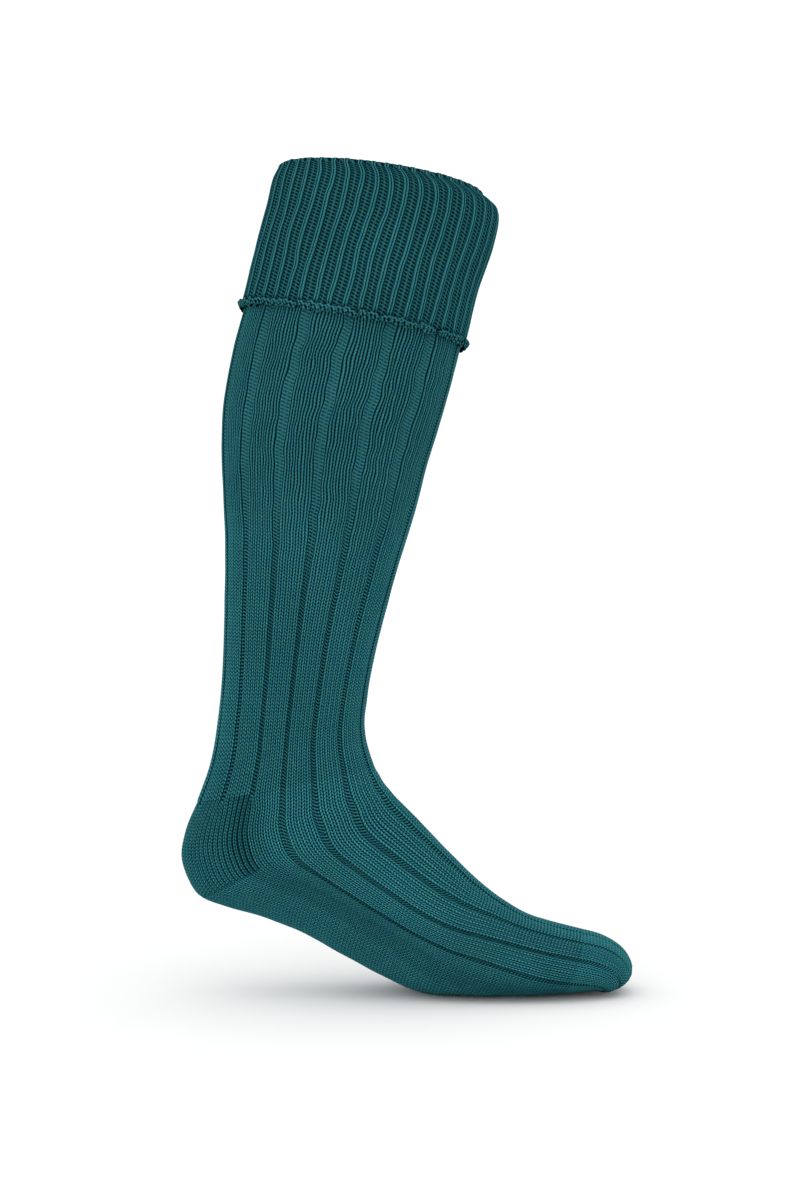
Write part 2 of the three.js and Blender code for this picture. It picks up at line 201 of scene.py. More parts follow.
@dataclass(frozen=True)
class Wander:
    """Smooth seeded noise that repeats round the limb, such as the way that the wales stray.

    Attributes:
        seed: The seed of the noise.
        turns: How many random values it has round the limb.
        length: The distance between two random values along the limb, in metres.
        reach: How far it goes to each side, in metres.
        stretched: How much further it goes where the knit is stretched wide, in metres.
    """

    seed: int
    turns: int
    length: float
    reach: float
    stretched: float = 0.0

    def at(self, along: Array, around: Array, stretch: Array | float = 0.0) -> Array:
        """Reads the noise.

        Args:
            along: Distances along the limb, in metres, any shape.
            around: Turns round the limb, 0 to 1, of the same shape.
            stretch: How far the knit is stretched sideways, 0 to 1.

        Returns:
            Distances to each side of 0, in metres.
        """
        steps = along / self.length
        count = int(math.ceil(float(np.max(steps)))) + 4
        table = np.random.default_rng(self.seed).uniform(-1, 1, (count, self.turns))
        row = np.clip(steps, 0, count - 2)
        column = np.mod(around, 1.0) * self.turns
        i, j = row.astype(int), column.astype(int)
        a, b = ease(row - i), ease(column - j)
        left, right = j % self.turns, (j + 1) % self.turns
        low = table[i, left] * (1 - b) + table[i, right] * b
        high = table[i + 1, left] * (1 - b) + table[i + 1, right] * b
        return (low * (1 - a) + high * a) * (self.reach + self.stretched * stretch)


@dataclass
class SockForm:
    """The worn form: rings round the limb from the mouth (row 0) to the toe's end.

    Attributes:
        steps: How finely each ring's girth is measured.
        samples: How finely the distance down the side is measured.
        rows: The rings, one row of the form's columns for each.
        origin: The middle of the mouth, measured from the ground under the back of the heel.
    """

    steps: int = 720
    samples: int = 400
    rows: Array = field(init=False)
    origin: Array = field(init=False)

    def __post_init__(self) -> None:
        """Turns the shares into metres and finds the middle of the mouth."""
        rows = []
        for back_x, back_z, front_x, front_z, width in LEG_ROWS:
            back = (back_x * CALF_DEPTH, ANKLE_HEIGHT + back_z * LEG_LENGTH)
            front = (front_x * CALF_DEPTH, ANKLE_HEIGHT + front_z * LEG_LENGTH)
            rows.append((*back, *front, width * CALF_WIDTH, *LEG_SPREAD))
        for back_x, back_z, front_x, front_z, width, *spread in FOOT_ROWS:
            back = (back_x * FOOT_LENGTH, back_z * ANKLE_HEIGHT)
            front = (front_x * FOOT_LENGTH, front_z * ANKLE_HEIGHT)
            rows.append((*back, *front, width * FOOT_WIDTH, *spread))
        self.rows = np.array(rows)
        mouth = self.rows[0]
        middle = (mouth[Column.BACK_X.value] + mouth[Column.FRONT_X.value]) / 2
        height = (mouth[Column.BACK_Z.value] + mouth[Column.FRONT_Z.value]) / 2
        self.origin = np.array([middle, 0.0, height])

    def at(self, numbers: Array) -> Array:
        """Rows between the listed ones, on a smooth curve through them.

        Args:
            numbers: Row numbers, one dimension.

        Returns:
            One row of the form's columns for each number.
        """
        last = len(self.rows) - 1
        index = np.minimum(np.floor(numbers).astype(int), last - 1)
        t = (numbers - index)[:, None]
        a, b, c, d = (self.rows[np.clip(index + step, 0, last)] for step in (-1, 0, 1, 2))
        bend = (2 * a - 5 * b + 4 * c - d) * t**2
        twist = (3 * b - a - 3 * c + d) * t**3
        return 0.5 * (2 * b + (c - a) * t + bend + twist)

    @staticmethod
    def share(place: Array, rows: Array) -> Array:
        """The share of the girth for places round the knit, 0 at the front and 0.5 at the back.

        Args:
            place: Places round the knit, rows by columns.
            rows: The form's rows, one for each row of places.

        Returns:
            Shares of the girth, of the same shape as place.
        """
        place = np.mod(place, 1.0)
        half = np.where(place <= 0.5, place, 1 - place)
        side, shift = rows[:, Column.SIDE.value, None], rows[:, Column.SHIFT.value, None]
        spread = np.where(half <= 0.25, half * side / 0.25, side + (half - 0.25) * (0.5 - side) / 0.25)
        share = spread + shift * np.sin(4 * np.pi * half)
        return np.where(place <= 0.5, share, 1 - share)

    def _ring(self, row: Array, angle: Array, grow: Array) -> Array:
        """Points of one ring.

        Args:
            row: One row of the form.
            angle: Angles from the front line.
            grow: How far each point moves outward in the ring's plane.

        Returns:
            Points in the ground's frame, before the origin is taken off.
        """
        rear = np.array([row[Column.BACK_X.value], row[Column.BACK_Z.value]])
        fore = np.array([row[Column.FRONT_X.value], row[Column.FRONT_Z.value]])
        along = (fore - rear) / np.linalg.norm(fore - rear)
        rear = rear - along * grow[:, None]
        fore = fore + along * grow[:, None]
        middle = rear + (fore - rear) * row[Column.WIDEST.value]
        cos, sin = np.cos(angle), np.sin(angle)
        power = np.where(cos >= 0, 2.0, row[Column.BACK_POWER.value])
        reach = (np.abs(cos) ** (2 / power))[:, None]
        end = np.where((cos >= 0)[:, None], fore, rear)
        flat = middle + (end - middle) * reach
        half = 0.5 * row[Column.WIDTH.value] + grow
        y = -half * np.sign(sin) * np.abs(sin) ** (2 / power)
        return np.stack([flat[:, 0], y, flat[:, 1]], axis=1)

    def points(self, numbers: Array, places: Array, grow: Array) -> Array:
        """Points of the knit.

        Args:
            numbers: Row numbers, one for each row of the grid.
            places: Places round the knit, rows by columns.
            grow: Growth off the leg's outer face, rows by columns.

        Returns:
            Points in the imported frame, rows by columns by 3.
        """
        rows = self.at(numbers)
        shares = self.share(places, rows)
        turn = np.linspace(0, 2 * np.pi, self.steps + 1)
        result = np.empty((*places.shape, 3))
        for i, row in enumerate(rows):
            ring = self._ring(row, turn, np.zeros_like(turn))
            lengths = np.concatenate([[0], np.cumsum(np.linalg.norm(np.diff(ring, axis=0), axis=1))])
            angle = np.interp(shares[i], lengths / lengths[-1], turn)
            result[i] = self._ring(row, angle, grow[i])
        return result - self.origin

    def girths(self, numbers: Array) -> Array:
        """The girth of each row, in metres."""
        turn = np.linspace(0, 2 * np.pi, self.steps + 1)
        rings = [self._ring(row, turn, np.zeros_like(turn)) for row in self.at(numbers)]
        return np.array([np.linalg.norm(np.diff(ring, axis=0), axis=1).sum() for ring in rings])

    def normal(self, number: float) -> Array:
        """The way out of the limb at a row, square to the line from its back to its front.

        Args:
            number: The row number.

        Returns:
            A unit vector.
        """
        row = self.at(np.array([number]))[0]
        x = row[Column.FRONT_X.value] - row[Column.BACK_X.value]
        z = row[Column.FRONT_Z.value] - row[Column.BACK_Z.value]
        return np.array([-z, 0.0, x]) / math.hypot(x, z)

    def evenly(self, start: float, stop: float, spacing: float) -> Array:
        """Row numbers a given distance apart, measured on the limb's sides.

        Args:
            start: The first row number.
            stop: The last row number.
            spacing: The wanted distance, in metres.

        Returns:
            Row numbers from start to stop.
        """
        fine = np.linspace(start, stop, self.samples)
        down = np.zeros((self.samples, 1))
        lengths = arc_lengths(self.points(fine, down + 0.25, down))[:, 0]
        count = max(2, int(round(lengths[-1] / spacing)) + 1)
        return np.interp(np.linspace(0, lengths[-1], count), lengths, fine)


@dataclass(frozen=True)
class Wool:
    """A finish: wool yarn knitted into stitches.

    Attributes:
        name: The material's name.
        slot: The record's material slot; it is not used.
        yarn: The yarn's colour where the light reaches it, linear.
        blue_yarn: The yarn's colour in its bluer stretches, linear.
        crest_highlight: The painted highlight's colour on top of the stitches, linear.
        shade: The painted shade's colour, down between the stitches and in the grooves, linear.
        fleck: The colour of the lighter fibres spun into the yarn, linear.
        highlight_share: How much of the painted highlight's colour the top of a stitch takes, 0 to 1.
        fleck_share: How much of the fleck colour a light fibre takes, 0 to 1.
        groove_share: How much of the painted shade's colour the bottom of a groove takes, 0 to 1.
        patch_share: How far soft patches lighten and darken the wool.
        fibre_scale: The fibres' noise scale, in waves to a metre.
        tint_scale: The same of the bluer stretches.
        patch_scale: The same of the soft patches.
        tint_ramp: The noise at and below which the yarn isn't bluer, and at and above which it is.
        fleck_ramp: The same for the light fibres.
        fuzz: How far the fibres stand up, as a share of a stitch.
        stitch_depth: How far the bump raises a stitch, in metres.
        slant: How far the arms of a stitch lean, in courses.
        tight_bead: How much of an arm's height goes between two courses where the knit is narrow.
        open_bead: The same where the knit is stretched wide.
        tight_gap: How deep the gaps of purl stitches are where the knit is narrow, and so how much painted
            shade they take.
        open_gap: The same where the knit is stretched wide.
        lean: How far the rows of purl stitches climb from one wale to the next, in courses.
        hole: How much narrower than its wale a gap is, 0 to 1.
        lowest: The height at and below which the yarn is in full painted shade.
        highest: The height at and above which it takes no painted shade.
        dim: How much lower, and darker with painted shade, the arms on one side of the wales are.
        tight_painted_light: A factor on the finished colour where the knit is narrow, with painted light in
            it.
        open_painted_light: The same where the knit is stretched wide.
    """

    name: str
    slot: str
    yarn: tuple[float, float, float] = (0.02, 0.17, 0.18)
    blue_yarn: tuple[float, float, float] = (0.016, 0.15, 0.19)
    crest_highlight: tuple[float, float, float] = (0.085, 0.235, 0.25)
    shade: tuple[float, float, float] = (0.0, 0.008, 0.011)
    fleck: tuple[float, float, float] = (0.14, 0.3, 0.31)
    highlight_share: float = 0.7
    fleck_share: float = 0.4
    groove_share: float = 0.96
    patch_share: float = 0.2
    fibre_scale: float = 900.0
    tint_scale: float = 210.0
    patch_scale: float = 26.0
    tint_ramp: tuple[float, float] = (0.35, 0.65)
    fleck_ramp: tuple[float, float] = (0.52, 0.78)
    fuzz: float = 0.35
    stitch_depth: float = 0.0006
    slant: float = 1.0
    tight_bead: float = 0.62
    open_bead: float = 0.4
    tight_gap: float = 1.0
    open_gap: float = 0.8
    lean: float = 0.5
    hole: float = 0.4
    lowest: float = 0.15
    highest: float = 0.65
    dim: float = 0.1
    tight_painted_light: float = 1.4
    open_painted_light: float = 0.8

    def material(self) -> bpy.types.Material:
        """Builds the node material.

        Returns:
            The material.
        """
        material = bpy.data.materials.new(self.name)
        material.use_nodes = True
        graph = NodeGraph(material.node_tree)
        stretch = graph.attribute("stretch")
        fibre = graph.noise(self.fibre_scale, detail=4.0)
        height = self._height(graph, stretch)
        shaded = self._yarn_colour(graph, height, fibre)
        # Painted shade: low parts of the stitches take the shade colour, and so do points that the mesh's
        # depth puts in grooves, channels, seams and inner skins.
        shaded = graph.mix_colour(graph.ramp(height, self.lowest, self.highest), self.shade, shaded)
        groove = graph.ramp(graph.attribute("depth"), 0.0, 1.0, self.groove_share)
        shaded = graph.mix_colour(groove, shaded, self.shade)
        # Painted light: a factor that lightens or darkens this piece's copy of the yarn.
        light = graph.mix_value(stretch, self.tight_painted_light, self.open_painted_light)
        patch = graph.noise(self.patch_scale, detail=3.0)
        shaded = graph.vary(shaded, patch, self.patch_share, light)
        graph.surface(shaded, graph.add(height, graph.scaled(fibre, self.fuzz)), self.stitch_depth)
        return material

    def _height(self, graph: NodeGraph, stretch: bpy.types.NodeSocket) -> bpy.types.NodeSocket:
        """The height of the stitches.

        Args:
            graph: The material's graph.
            stretch: How far the knit is stretched sideways.

        Returns:
            A height from 0 to 1, of plain stitches or purl ones.
        """
        wale, course = graph.knit_coordinates()
        bead = graph.mix_value(stretch, self.tight_bead, self.open_bead)
        arm = graph.stitch_arm(wale, course, self.slant, bead, self.dim)
        gap = graph.purl_gap(wale, course, self.lean, self.hole)
        dark = graph.mix_value(stretch, self.tight_gap, self.open_gap)
        rung = graph.math("SUBTRACT", 1.0, graph.math("MULTIPLY", gap, dark))
        return graph.mix_value(graph.attribute("purl"), arm, rung)

    def _yarn_colour(
        self, graph: NodeGraph, height: bpy.types.NodeSocket, fibre: bpy.types.NodeSocket
    ) -> bpy.types.NodeSocket:
        """The colour of the yarn where the light reaches it.

        Args:
            graph: The material's graph.
            height: The height of the stitches.
            fibre: The fibres' noise.

        Returns:
            The yarn with its bluer stretches, its painted highlights on the crests and its flecks.
        """
        tint = graph.ramp(graph.noise(self.tint_scale, detail=2.0), *self.tint_ramp)
        yarn = graph.mix_colour(tint, self.yarn, self.blue_yarn)
        # Painted highlight on the tops of the stitches.
        yarn = graph.mix_colour(graph.ramp(height, self.highest, 1.0, self.highlight_share), yarn, self.crest_highlight)
        fleck = graph.ramp(fibre, *self.fleck_ramp, self.fleck_share)
        return graph.mix_colour(fleck, yarn, self.fleck)


@dataclass
class NodeGraph:
    """A short way to write the knit's node materials.

    Attributes:
        tree: The material's node tree.
    """

    tree: bpy.types.NodeTree

    def _node(self, kind: str, **settings: object) -> bpy.types.Node:
        """Adds a node and sets its properties."""
        node = self.tree.nodes.new(kind)
        for key, value in settings.items():
            setattr(node, key, value)
        return node

    def _feed(self, socket: bpy.types.NodeSocket, value: object) -> None:
        """Links a socket to another, or sets its value."""
        if isinstance(value, bpy.types.NodeSocket):
            self.tree.links.new(value, socket)
        elif isinstance(value, tuple) and len(value) == 3 and socket.type == "RGBA":
            socket.default_value = (*value, 1.0)
        else:
            socket.default_value = value

    def math(self, operation: str, first: object, second: object = 0.0) -> bpy.types.NodeSocket:
        """One math node.

        Args:
            operation: The node's operation.
            first: A socket or a number.
            second: A socket or a number.

        Returns:
            The result's socket.
        """
        node = self._node("ShaderNodeMath", operation=operation)
        self._feed(node.inputs[0], first)
        self._feed(node.inputs[1], second)
        return node.outputs[0]

    def add(self, first: object, second: object) -> bpy.types.NodeSocket:
        """Adds two values."""
        return self.math("ADD", first, second)

    def scaled(self, value: object, factor: float) -> bpy.types.NodeSocket:
        """Multiplies a value by a number."""
        return self.math("MULTIPLY", value, factor)

    def knit_coordinates(self) -> tuple[bpy.types.NodeSocket, bpy.types.NodeSocket]:
        """The wale and course numbers, kept in the mesh's UV map."""
        node = self._node("ShaderNodeUVMap", uv_map="knit")
        split = self._node("ShaderNodeSeparateXYZ")
        self.tree.links.new(node.outputs[0], split.inputs[0])
        return split.outputs[0], split.outputs[1]

    def attribute(self, name: str) -> bpy.types.NodeSocket:
        """A number kept on the mesh's points."""
        return self._node("ShaderNodeAttribute", attribute_name=name).outputs["Fac"]

    def noise(self, scale: float, detail: float) -> bpy.types.NodeSocket:
        """Noise over the object's own coordinates.

        Args:
            scale: Waves to a metre.
            detail: How many finer layers it has.

        Returns:
            The noise's socket, round one half.
        """
        place = self._node("ShaderNodeTexCoord")
        node = self._node("ShaderNodeTexNoise")
        self._feed(node.inputs["Vector"], place.outputs["Object"])
        node.inputs["Scale"].default_value = scale
        node.inputs["Detail"].default_value = detail
        return node.outputs["Fac"]

    def ramp(self, value: object, low: float, high: float, top: float = 1.0) -> bpy.types.NodeSocket:
        """A clamped ramp from 0 at low to top at high.

        Args:
            value: The value that is ramped.
            low: Where the ramp starts.
            high: Where it ends.
            top: What it ends in.

        Returns:
            The result's socket.
        """
        node = self._node("ShaderNodeMapRange", interpolation_type="SMOOTHSTEP")
        self._feed(node.inputs["Value"], value)
        node.inputs["From Min"].default_value = low
        node.inputs["From Max"].default_value = high
        node.inputs["To Max"].default_value = top
        return node.outputs["Result"]

    def stitch_arm(
        self, wale: object, course: object, slant: float, bead: object, dim: float
    ) -> bpy.types.NodeSocket:
        """The height of plain stitches: two leaning arms to a wale, one pair to a course.

        Args:
            wale: The wale coordinate.
            course: The course coordinate.
            slant: How far the arms lean, in courses.
            bead: How much of the height goes between one course and the next.
            dim: How much lower, and darker with painted shade, the arm on one side is.

        Returns:
            A height from 0 to 1.
        """
        across = self.math("SUBTRACT", self.math("FRACT", wale), 0.5)
        away = self.math("ABSOLUTE", across)
        leaned = self.math("SUBTRACT", course, self.scaled(away, 2 * slant))
        wave = self.math("SINE", self.scaled(leaned, 2 * math.pi))
        arm = self.math("SINE", self.scaled(away, 2 * math.pi))
        arm = self.math("POWER", self.math("MAXIMUM", arm, 0.0), ARM_POWER)
        dip = self.scaled(self.math("MULTIPLY", self.math("SUBTRACT", 1.0, wave), bead), 0.5)
        arm = self.math("MULTIPLY", arm, self.math("SUBTRACT", 1.0, dip))
        low = self.scaled(self.math("LESS_THAN", across, 0.0), dim)
        return self.math("MULTIPLY", arm, self.math("SUBTRACT", 1.0, low))

    def purl_gap(self, wale: object, course: object, lean: float, hole: float) -> bpy.types.NodeSocket:
        """The gaps of purl stitches: one in each wale between two rows of yarn.

        Args:
            wale: The wale coordinate.
            course: The course coordinate.
            lean: How far a row climbs from one wale to the next, in courses.
            hole: How much narrower than its wale a gap is, 0 to 1.

        Returns:
            1 in a gap's middle and 0 on the yarn.
        """
        phase = self.add(course, self.scaled(wale, lean))
        row = self.scaled(self.add(self.math("SINE", self.scaled(phase, 2 * math.pi)), 1.0), 0.5)
        row = self.math("POWER", row, GAP_POWER)
        column = self.math("ABSOLUTE", self.math("SINE", self.scaled(wale, math.pi)))
        return self.math("MULTIPLY", row, self.add(self.scaled(column, hole), 1 - hole))

    def mix_value(self, factor: object, first: object, second: object) -> bpy.types.NodeSocket:
        """Mixes two numbers."""
        node = self._node("ShaderNodeMix", data_type="FLOAT")
        self._feed(node.inputs[0], factor)
        self._feed(node.inputs[2], first)
        self._feed(node.inputs[3], second)
        return node.outputs[0]

    def mix_colour(self, factor: object, first: object, second: object) -> bpy.types.NodeSocket:
        """Mixes two colours."""
        node = self._node("ShaderNodeMix", data_type="RGBA")
        self._feed(node.inputs[0], factor)
        self._feed(node.inputs[6], first)
        self._feed(node.inputs[7], second)
        return node.outputs[2]

    def vary(self, colour: object, noise: object, amount: float, light: object) -> bpy.types.NodeSocket:
        """Lightens and darkens a colour in soft patches.

        Args:
            colour: The colour.
            noise: Noise round one half.
            amount: How far the noise lightens or darkens it.
            light: A factor on the whole, which carries the wool's painted light.

        Returns:
            The varied colour.
        """
        node = self._node("ShaderNodeHueSaturation")
        level = self.math("MULTIPLY", self.add(self.scaled(noise, 2 * amount), 1 - amount), light)
        self._feed(node.inputs["Value"], level)
        self._feed(node.inputs["Color"], colour)
        return node.outputs["Color"]

    def surface(self, colour: object, height: object, depth: float) -> None:
        """Ends the graph in a soft, dull shader with a bumped normal.

        Args:
            colour: The base colour.
            height: The stitches' height, 0 to 1.
            depth: What a height of 1 is in metres.
        """
        shader = self.tree.nodes["Principled BSDF"]
        shader.inputs["Roughness"].default_value = 1.0
        shader.inputs["Specular IOR Level"].default_value = 0.0
        bump = self._node("ShaderNodeBump")
        bump.inputs["Strength"].default_value = 1.0
        bump.inputs["Distance"].default_value = depth
        self._feed(bump.inputs["Height"], height)
        self.tree.links.new(bump.outputs[0], shader.inputs["Normal"])
        self._feed(shader.inputs["Base Color"], colour)


@dataclass
class KnitSurface:
    """One skin of knitting as a grid of points with its knit coordinates.

    Attributes:
        points: Rows by columns by 3.
        wale: The wale coordinate, rows by columns.
        course: The course coordinate, rows by columns.
        purl: 1 on purl stitches and 0 on knit ones.
        depth: How much painted shade a point takes, 0 to 1, mostly for how deep it lies in a groove.
        stretch: How far the knit is stretched sideways, 0 to 1.
        turn: The wales in a whole turn where the last column joins the first, or 0.
    """

    points: Array
    wale: Array
    course: Array
    purl: Array
    depth: Array
    stretch: Array
    turn: int


@dataclass
class KnitMesh:
    """Gathers skins into one mesh object.

    Attributes:
        name: The object's name.
        skins: The skins, each with whether its faces are turned over.
    """

    name: str
    skins: list[tuple[KnitSurface, bool]] = field(default_factory=list)

    def add(self, skin: KnitSurface, flipped: bool = False) -> None:
        """Adds a skin."""
        self.skins.append((skin, flipped))

    def build(self) -> bpy.types.Object:
        """Makes the mesh object.

        Returns:
            The object, linked into the scene.
        """
        verts, quads, uvs = [], [], []
        numbers = {"purl": [], "depth": [], "stretch": []}
        start = 0
        for skin, flipped in self.skins:
            rows, columns = skin.wale.shape
            grid = np.arange(rows * columns).reshape(rows, columns) + start
            wale, course = skin.wale, skin.course
            if skin.turn:
                grid = np.concatenate([grid, grid[:, :1]], axis=1)
                wale = np.concatenate([wale, wale[:, :1] + skin.turn], axis=1)
                course = np.concatenate([course, course[:, :1]], axis=1)
            corners = [grid[:-1, :-1], grid[1:, :-1], grid[1:, 1:], grid[:-1, 1:]]
            spots = [(slice(None, -1), slice(None, -1)), (slice(1, None), slice(None, -1))]
            spots += [(slice(1, None), slice(1, None)), (slice(None, -1), slice(1, None))]
            if flipped:
                corners, spots = corners[::-1], spots[::-1]
            quads.append(np.stack([c.ravel() for c in corners], axis=1))
            uv = [np.stack([wale[s].ravel(), course[s].ravel()], axis=1) for s in spots]
            uvs.append(np.stack(uv, axis=1).reshape(-1, 2))
            verts.append(skin.points.reshape(-1, 3))
            for name, arrays in numbers.items():
                arrays.append(np.broadcast_to(getattr(skin, name), skin.wale.shape).ravel())
            start += rows * columns
        return self._object(verts, quads, uvs, numbers)

    def _object(self, verts: list, quads: list, uvs: list, numbers: dict[str, list]) -> bpy.types.Object:
        """Writes the gathered arrays into a Blender mesh.

        Args:
            verts: Arrays of points.
            quads: Arrays of faces.
            uvs: Arrays of knit coordinates, one for each face corner.
            numbers: Named arrays of point numbers.

        Returns:
            The mesh object.
        """
        points, faces = np.concatenate(verts), np.concatenate(quads)
        mesh = bpy.data.meshes.new(self.name)
        mesh.vertices.add(len(points))
        mesh.vertices.foreach_set("co", points.astype(np.float32).ravel())
        mesh.loops.add(faces.size)
        mesh.loops.foreach_set("vertex_index", faces.astype(np.int32).ravel())
        mesh.polygons.add(len(faces))
        mesh.polygons.foreach_set("loop_start", np.arange(0, faces.size, 4, dtype=np.int32))
        mesh.polygons.foreach_set("use_smooth", np.ones(len(faces), dtype=bool))
        mesh.update(calc_edges=True)
        layer = mesh.uv_layers.new(name="knit")
        layer.data.foreach_set("uv", np.concatenate(uvs).astype(np.float32).ravel())
        for name, arrays in numbers.items():
            attribute = mesh.attributes.new(name, "FLOAT", "POINT")
            attribute.data.foreach_set("value", np.concatenate(arrays).astype(np.float32))
        mesh.validate()
        item = bpy.data.objects.new(self.name, mesh)
        bpy.context.scene.collection.objects.link(item)
        return item


@dataclass
class BroadRib:
    """The leg's pattern: panels of plain stitches with sunk channels of purl ones between them.

    Attributes:
        form: The worn form.
        wide_girth: The girth at and above which a channel lies open.
        slim_girth: The girth at and below which a channel is closed up.
        open_share: An open channel's share of its panel.
        closed_share: A closed channel's share of its panel.
        knit_half: Half the plain wales of a panel.
        wale_columns: Columns of the mesh in one plain wale.
        purl_columns: Columns of the mesh in one channel.
        channel_power: How round a channel's bottom is, 0 for square and 1 for a sine.
    """

    form: SockForm
    wide_girth: float = 0.372
    slim_girth: float = 0.262
    open_share: float = 0.27
    closed_share: float = 0.16
    knit_half: float = KNIT_WALES / 2
    wale_columns: int = 8
    purl_columns: int = 9
    channel_power: float = 0.7

    def columns(self, panels: range) -> Array:
        """Wale numbers of the mesh's columns.

        Args:
            panels: The panels, counted from the front line's.

        Returns:
            Wale numbers, each panel's from its left edge to the end of the channel on its right.
        """
        knit = np.arange(KNIT_WALES * self.wale_columns) / self.wale_columns - self.knit_half
        purl = self.knit_half + PURL_WALES * np.arange(self.purl_columns) / self.purl_columns
        return np.concatenate([PANEL_WALES * panel + np.concatenate([knit, purl]) for panel in panels])

    def stitch(self, wale: Array) -> Array:
        """Wale numbers counted so that every wale of a panel starts at a whole number."""
        return wale + self.knit_half

    def openness(self, numbers: Array) -> Array:
        """How open the channels lie at each row, 0 to 1."""
        return smoothstep(self.slim_girth, self.wide_girth, self.form.girths(numbers))

    def channel_share(self, numbers: Array) -> Array:
        """The channel's share of a panel at each row."""
        return self.closed_share + (self.open_share - self.closed_share) * self.openness(numbers)

    def places(self, wale: Array, channel: Array) -> Array:
        """Places round the knit of wale numbers in the broad rib.

        Args:
            wale: Wale numbers, one for each column.
            channel: The channel's share of a panel, one for each row.

        Returns:
            Places, rows by columns.
        """
        panel = np.floor((wale + self.knit_half) / PANEL_WALES)
        q = (wale - panel * PANEL_WALES)[None, :]
        a = channel[:, None]
        knit = q / self.knit_half * (1 - a) / 2
        purl = (1 - a) / 2 + (q - self.knit_half) / PURL_WALES * a
        return (panel[None, :] + np.where(q <= self.knit_half, knit, purl)) / PANELS

    def channel_depth(self, wale: Array) -> Array:
        """How far a wale number lies into a channel: 0 on a panel, 1 in the channel's middle."""
        q = np.mod(wale + self.knit_half, PANEL_WALES) - self.knit_half
        inside = np.clip((q - self.knit_half) / PURL_WALES, 0, 1)
        return np.sin(np.pi * inside) ** self.channel_power

    @staticmethod
    def plain(channel: Array) -> Array:
        """How much of the plain wales' relief is left at a depth in a channel: none from halfway down."""
        return 1 - np.minimum(1, channel * 2)

    def crown(self, wale: Array) -> Array:
        """How far a panel swells at a wale number: 1 in its middle, 0 at its edges."""
        q = np.mod(wale + self.knit_half, PANEL_WALES) - self.knit_half
        return np.clip(1 - (q / self.knit_half) ** 2, 0, 1)


@dataclass
class Relief:
    """The height of plain wales: two arms to a wale, with a groove on each side.

    Attributes:
        arm: How far an arm stands up, in metres.
        groove: How far the groove between two wales sinks below the one inside a wale, in metres.
        between: How much painted shade the groove between two wales takes, 0 to 1.
        inside: The same for the groove inside a wale.
        wide: The same for both grooves where the knit is stretched wide.
        sharpness: How narrow the grooves are.
        wide_sharpness: The same where the knit is stretched wide.
    """

    arm: float = 0.0006
    groove: float = 0.0003
    between: float = 0.5
    inside: float = 0.3
    wide: float = 0.97
    sharpness: float = 2.0
    wide_sharpness: float = 0.95

    @staticmethod
    def _groove(stitch: Array, sharpness: float) -> Array:
        """1 where two wales meet, and 0 halfway between two such lines."""
        return (0.5 + 0.5 * np.cos(2 * np.pi * stitch)) ** sharpness

    def height(self, stitch: Array) -> Array:
        """The height at wale numbers that start at a whole number, in metres."""
        arms = 0.5 - 0.5 * np.cos(4 * np.pi * stitch)
        return self.arm * arms - self.groove * self._groove(stitch, self.sharpness)

    def shade(self, stitch: Array, stretch: Array) -> Array:
        """How deep a point lies in its groove.

        Args:
            stitch: Wale numbers that start at a whole number, one row.
            stretch: How far the knit is stretched sideways, one column.

        Returns:
            Painted shade from 0 to 1, rows by columns.
        """
        # Painted shade in the grooves between and inside the wales.
        narrow = self.between * self._groove(stitch, self.sharpness)
        narrow = narrow + self.inside * self._groove(stitch + 0.5, self.sharpness)
        return narrow + (self.wide * self._groove(2 * stitch, self.wide_sharpness) - narrow) * stretch


@dataclass
class Piece:
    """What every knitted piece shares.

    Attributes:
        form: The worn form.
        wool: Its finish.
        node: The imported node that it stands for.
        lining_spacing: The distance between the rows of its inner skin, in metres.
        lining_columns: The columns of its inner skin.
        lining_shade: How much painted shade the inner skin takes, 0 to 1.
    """

    form: SockForm
    wool: Wool
    node: str
    lining_spacing: float = 0.006
    lining_columns: int = 96
    lining_shade: float = 0.3

    def finish(self, item: bpy.types.Object) -> bpy.types.Object:
        """Dresses the piece and puts it in the frame.

        Args:
            item: The mesh object.

        Returns:
            The same object.
        """
        item.data.materials.append(self.wool.material())
        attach(item, "root")
        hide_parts(self.node)
        LOG.info("%s: %d faces", item.name, len(item.data.polygons))
        return item

    def lining(self, start: float, stop: float, sides: tuple[float, float], wall: float) -> KnitSurface:
        """The inner skin, all purl stitches.

        Args:
            start: The first row number.
            stop: The last row number.
            sides: The first and last place. It closes round the limb where they are a turn apart.
            wall: How far it lies inside the outer face.

        Returns:
            A coarse skin.
        """
        numbers = self.form.evenly(start, stop, self.lining_spacing)
        whole = sides[1] - sides[0] == 1
        place = np.linspace(*sides, self.lining_columns, endpoint=not whole)
        places = np.broadcast_to(place, (len(numbers), len(place)))
        points = self.form.points(numbers, places, np.full(places.shape, -wall))
        down = np.arange(len(numbers))[:, None] * self.lining_spacing
        course = np.broadcast_to(down / COURSE, places.shape)
        one = np.ones(places.shape)
        # The inner skin lies in painted shade.
        shade = self.lining_shade * one
        return KnitSurface(points, places * WALES, course, one, shade, 0 * one, WALES if whole else 0)


